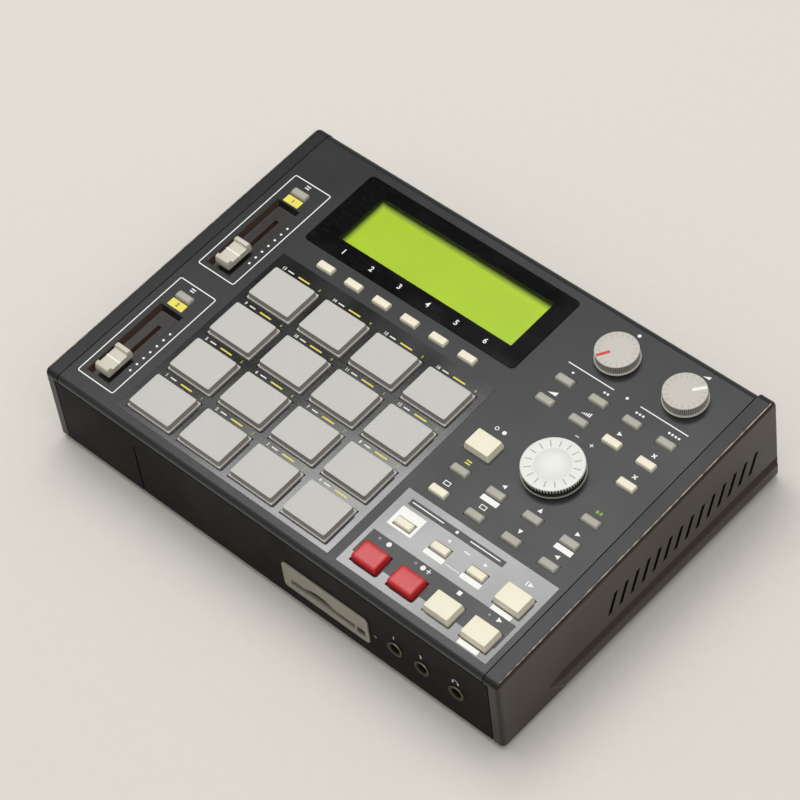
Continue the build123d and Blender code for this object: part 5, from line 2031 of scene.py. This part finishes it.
@dataclass
class Lamps:
    """The small lamp lenses on the transport film and the front face."""

    places: Pairs = ((58.9, 31.0), (84.4, 31.0), (135.6, 30.6))
    radius: float = 1.05
    front_place: Pair = (80.0, 25.0)
    front_radius: float = 1.2
    profile: Pairs = ((1.0, -0.2), (1.0, 0.1), (0.85, 0.25), (0.5, 0.36), (0.2, 0.4))
    sides: int = 16

    def lens(self, shape: Shape, radius: float, place: Pair, base: float) -> None:
        """Add one domed lens.

        Args:
            shape: The mesh that it joins.
            radius: Its radius.
            place: Its middle.
            base: Height of the surface that it is on.
        """
        shape.loft([circle(radius * share, base + rise, self.sides, place) for share, rise in self.profile])

    def build(self, films: Films, finishes: Finishes) -> None:
        """Make the lenses on the film and the one on the front face.

        Args:
            films: The film that the first three are on.
            finishes: The materials.
        """
        panel_lamps = Shape()
        for place in self.places:
            self.lens(panel_lamps, self.radius, place, films.thickness + films.print_depth)
        panel_lamps.move(PANEL.at()).build("transport_lamps", CASE_BODY, finishes.lamp)
        front = Shape()
        self.lens(front, self.front_radius, (0.0, 0.0), 0.0)
        front.move(Face.FRONT.at(*self.front_place)).build("card_lamp", CASE_BODY, finishes.lens)


@dataclass
class FaceMarks:
    """Plain numbers and a headset sign beside the front and rear sockets."""

    front_jacks: Places = (94.0, 113.0)
    phones_x: float = 137.0
    front_z: float = 36.5
    rear_jacks: Places = (125.0, 100.0, 75.0, 50.0)
    rear_z: float = 41.5
    depth: float = 0.03
    front_figure: float = 2.4
    rear_figure: float = 3.0

    def headset(self, shape: Shape, place: Pair) -> None:
        """Add a plain headset sign: a half ring with an ear cup at each end.

        Args:
            shape: The mesh that it joins.
            place: Its middle.
        """
        outer, inner, steps = 2.0, 1.6, 10
        arc_drop, cup_drop, cup_reach, cup = 0.4, 0.9, 1.8, (1.0, 1.7)
        x, z = place
        arc = [math.pi * step / steps for step in range(steps + 1)]
        band = [(outer * math.cos(angle), outer * math.sin(angle)) for angle in arc]
        band += [(inner * math.cos(angle), inner * math.sin(angle)) for angle in reversed(arc)]
        shape.prism([(x + a, z - arc_drop + b) for a, b in band], -self.depth, self.depth)
        for side in (-1, 1):
            shape.plate(box_around((x + side * cup_reach, z - cup_drop), cup), -self.depth, self.depth)

    def build(self, finishes: Finishes) -> None:
        """Make the marks of the front and the rear.

        Args:
            finishes: The materials.
        """
        low, high = -self.depth, self.depth
        front = Shape()
        for number, x in enumerate(self.front_jacks, start=1):
            front.words(str(number), self.front_figure, (x, self.front_z), low, high)
        self.headset(front, (self.phones_x, self.front_z))
        front.move(Face.FRONT.at(0.0, 0.0)).build("print_front", CASE_BODY, finishes.white)
        rear = Shape()
        for number, x in enumerate(self.rear_jacks, start=1):
            rear.words(str(number), self.rear_figure, (-x, self.rear_z), low, high)
        rear.move(Face.REAR.at(0.0, 0.0)).build("print_rear", CASE_BODY, finishes.white)


@dataclass(frozen=True)
class Viewpoint:
    """The camera, as a turn about the middle of the case's underside."""

    azimuth: float = 48.541
    elevation: float = 50.521
    roll: float = -7.854
    distance: float = 1637.63
    right: float = -6.68
    up: float = 30.16
    focal_pixels: float = 2936.5
    image_pixels: float = 800.0
    sensor: float = 36.0
    target: Triple = (1.0, 0.0, 4.5)

    def build(self) -> None:
        """Make the camera and hand it to the scene."""
        azimuth, elevation = math.radians(self.azimuth), math.radians(self.elevation)
        back = Vector((
            math.sin(azimuth) * math.cos(elevation),
            -math.cos(azimuth) * math.cos(elevation),
            math.sin(elevation),
        ))
        level = Vector((math.cos(azimuth), math.sin(azimuth), 0.0))
        upright = back.cross(level)
        roll = math.radians(self.roll)
        right = math.cos(roll) * level + math.sin(roll) * upright
        up = math.cos(roll) * upright - math.sin(roll) * level
        eye = Vector(self.target) + right * self.right + up * self.up + back * self.distance
        data = bpy.data.cameras.new("camera")
        data.sensor_width = self.sensor
        data.lens = self.focal_pixels * self.sensor / self.image_pixels
        camera = bpy.data.objects.new("camera", data)
        bpy.context.scene.collection.objects.link(camera)
        columns = Matrix((right, up, back)).transposed().to_4x4()
        camera.matrix_world = Matrix.Translation(eye * MM) @ columns
        bpy.context.scene.camera = camera


@dataclass(frozen=True)
class StudioLamp:
    """A flat lamp that looks at the case.

    Attributes:
        name: Name of the lamp.
        place: Where it hangs, in metres.
        size: Its width and height, in metres.
        watts: Its power.
        turn: Turn about its own axis, in degrees.
    """

    name: str
    place: Triple
    size: Pair
    watts: float
    turn: float = 0.0

    def build(self) -> None:
        """Hang the lamp."""
        data = bpy.data.lights.new(self.name, "AREA")
        data.shape = "RECTANGLE"
        data.size, data.size_y = self.size
        data.energy = self.watts
        lamp = bpy.data.objects.new(self.name, data)
        bpy.context.scene.collection.objects.link(lamp)
        lamp.location = self.place
        aim = (-Vector(self.place)).to_track_quat("-Z", "Y").to_matrix()
        lamp.rotation_euler = (aim @ Matrix.Rotation(math.radians(self.turn), 3, "Z")).to_euler()


@dataclass
class Studio:
    """A pale floor, a soft sky, two large lamps and a faint strip lamp. Lengths are metres."""

    floor_size: float = 12.0
    floor_colour: Colour = (226, 222, 215)
    sky_colour: Light = (1.0, 0.99, 0.97, 1.0)
    sky_rise: Pair = (0.35, 1.0)
    sky_strength: Pair = (0.3, 0.8)
    sky_seen: float = 0.85
    patch: Triple = (-0.639, 0.479, 0.602)
    patch_share: float = 0.1
    patch_edge: Pair = (16.5, 20.5)
    lamps: tuple[StudioLamp, ...] = (
        StudioLamp("key lamp", (-0.46, 0.32, 2.06), (1.4, 1.4), 17.8, -12.0),
        StudioLamp("fill lamp", (1.3, -0.6, 2.2), (1.4, 1.4), 8.0),
        StudioLamp("strip lamp", (-0.94, 0.61, 1.89), (1.6, 0.16), 2.4, -12.0),
    )

    def floor(self) -> None:
        """Lay the floor."""
        half = self.floor_size / 2
        data = bpy.data.meshes.new("floor")
        corners = [(-half, -half, 0), (half, -half, 0), (half, half, 0), (-half, half, 0)]
        data.from_pydata(corners, [], [(0, 1, 2, 3)])
        finish = Finish("studio floor", self.floor_colour, (0.75, 0.85), 3.0, 0.01, 0.01)
        data.materials.append(finish.build())
        floor = bpy.data.objects.new("floor", data)
        bpy.context.scene.collection.objects.link(floor)

    def sky(self) -> None:
        """Light the scene from a sky that brightens towards the top."""
        world = bpy.data.worlds.new("studio")
        bpy.context.scene.world = world
        world.use_nodes = True
        nodes = NodeMaker(world.node_tree)
        ground = world.node_tree.nodes["Background"]
        place = nodes.add("ShaderNodeTexCoord").outputs["Generated"]
        up = nodes.add("ShaderNodeSeparateXYZ", {0: place}).outputs["Z"]
        strength = nodes.spread(up, self.sky_rise, self.sky_strength)
        near = {0: place, 1: self.patch}
        towards = nodes.add("ShaderNodeVectorMath", near, operation="DOT_PRODUCT").outputs["Value"]
        inner, outer = (math.cos(math.radians(angle)) for angle in self.patch_edge)
        shade = nodes.spread(towards, (outer, inner), (1.0, self.patch_share))
        strength = nodes.math("MULTIPLY", strength, shade)
        seen = nodes.add("ShaderNodeLightPath").outputs["Is Camera Ray"]
        nodes.link(nodes.blend(seen, strength, self.sky_seen), ground.inputs["Strength"])
        ground.inputs["Color"].default_value = self.sky_colour

    def build(self) -> None:
        """Set up the floor, the lights and the colour management."""
        bpy.context.scene.view_settings.view_transform = "Standard"
        self.floor()
        self.sky()
        for lamp in self.lamps:
            lamp.build()


def main() -> None:
    """Build every sub-assembly, then the studio and the camera."""
    logging.basicConfig(level=logging.INFO, format="%(name)s: %(message)s")
    finishes = Finishes()
    pads, keys, display, films = PadGrid(), KeyField(), Display(), Films()
    faders, dial = Faders(), DataDial()
    gain = Knob("gain_knob", (81.6, 197.7), -147.0)
    volume = Knob("volume_knob", (128.3, 198.0), 41.0)
    Case().dress(finishes)
    films.build(pads, keys, finishes)
    display.build(finishes)
    pads.build(finishes)
    keys.build(finishes)
    faders.build(finishes)
    gain.build(finishes, finishes.scarlet)
    volume.build(finishes, finishes.white)
    dial.build(finishes)
    Jacks().build(finishes)
    prints = Prints(films)
    prints.pads(pads)
    prints.faders(keys)
    prints.function_keys(keys, display)
    prints.banks(keys)
    prints.key_signs(keys)
    prints.turning_signs(keys, dial, (gain, volume))
    prints.locate(keys)
    prints.transport(keys)
    prints.build(finishes)
    Lamps().build(films, finishes)
    FaceMarks().build(finishes)
    Studio().build()
    Viewpoint().build()


if __name__ == "__main__":
    main()
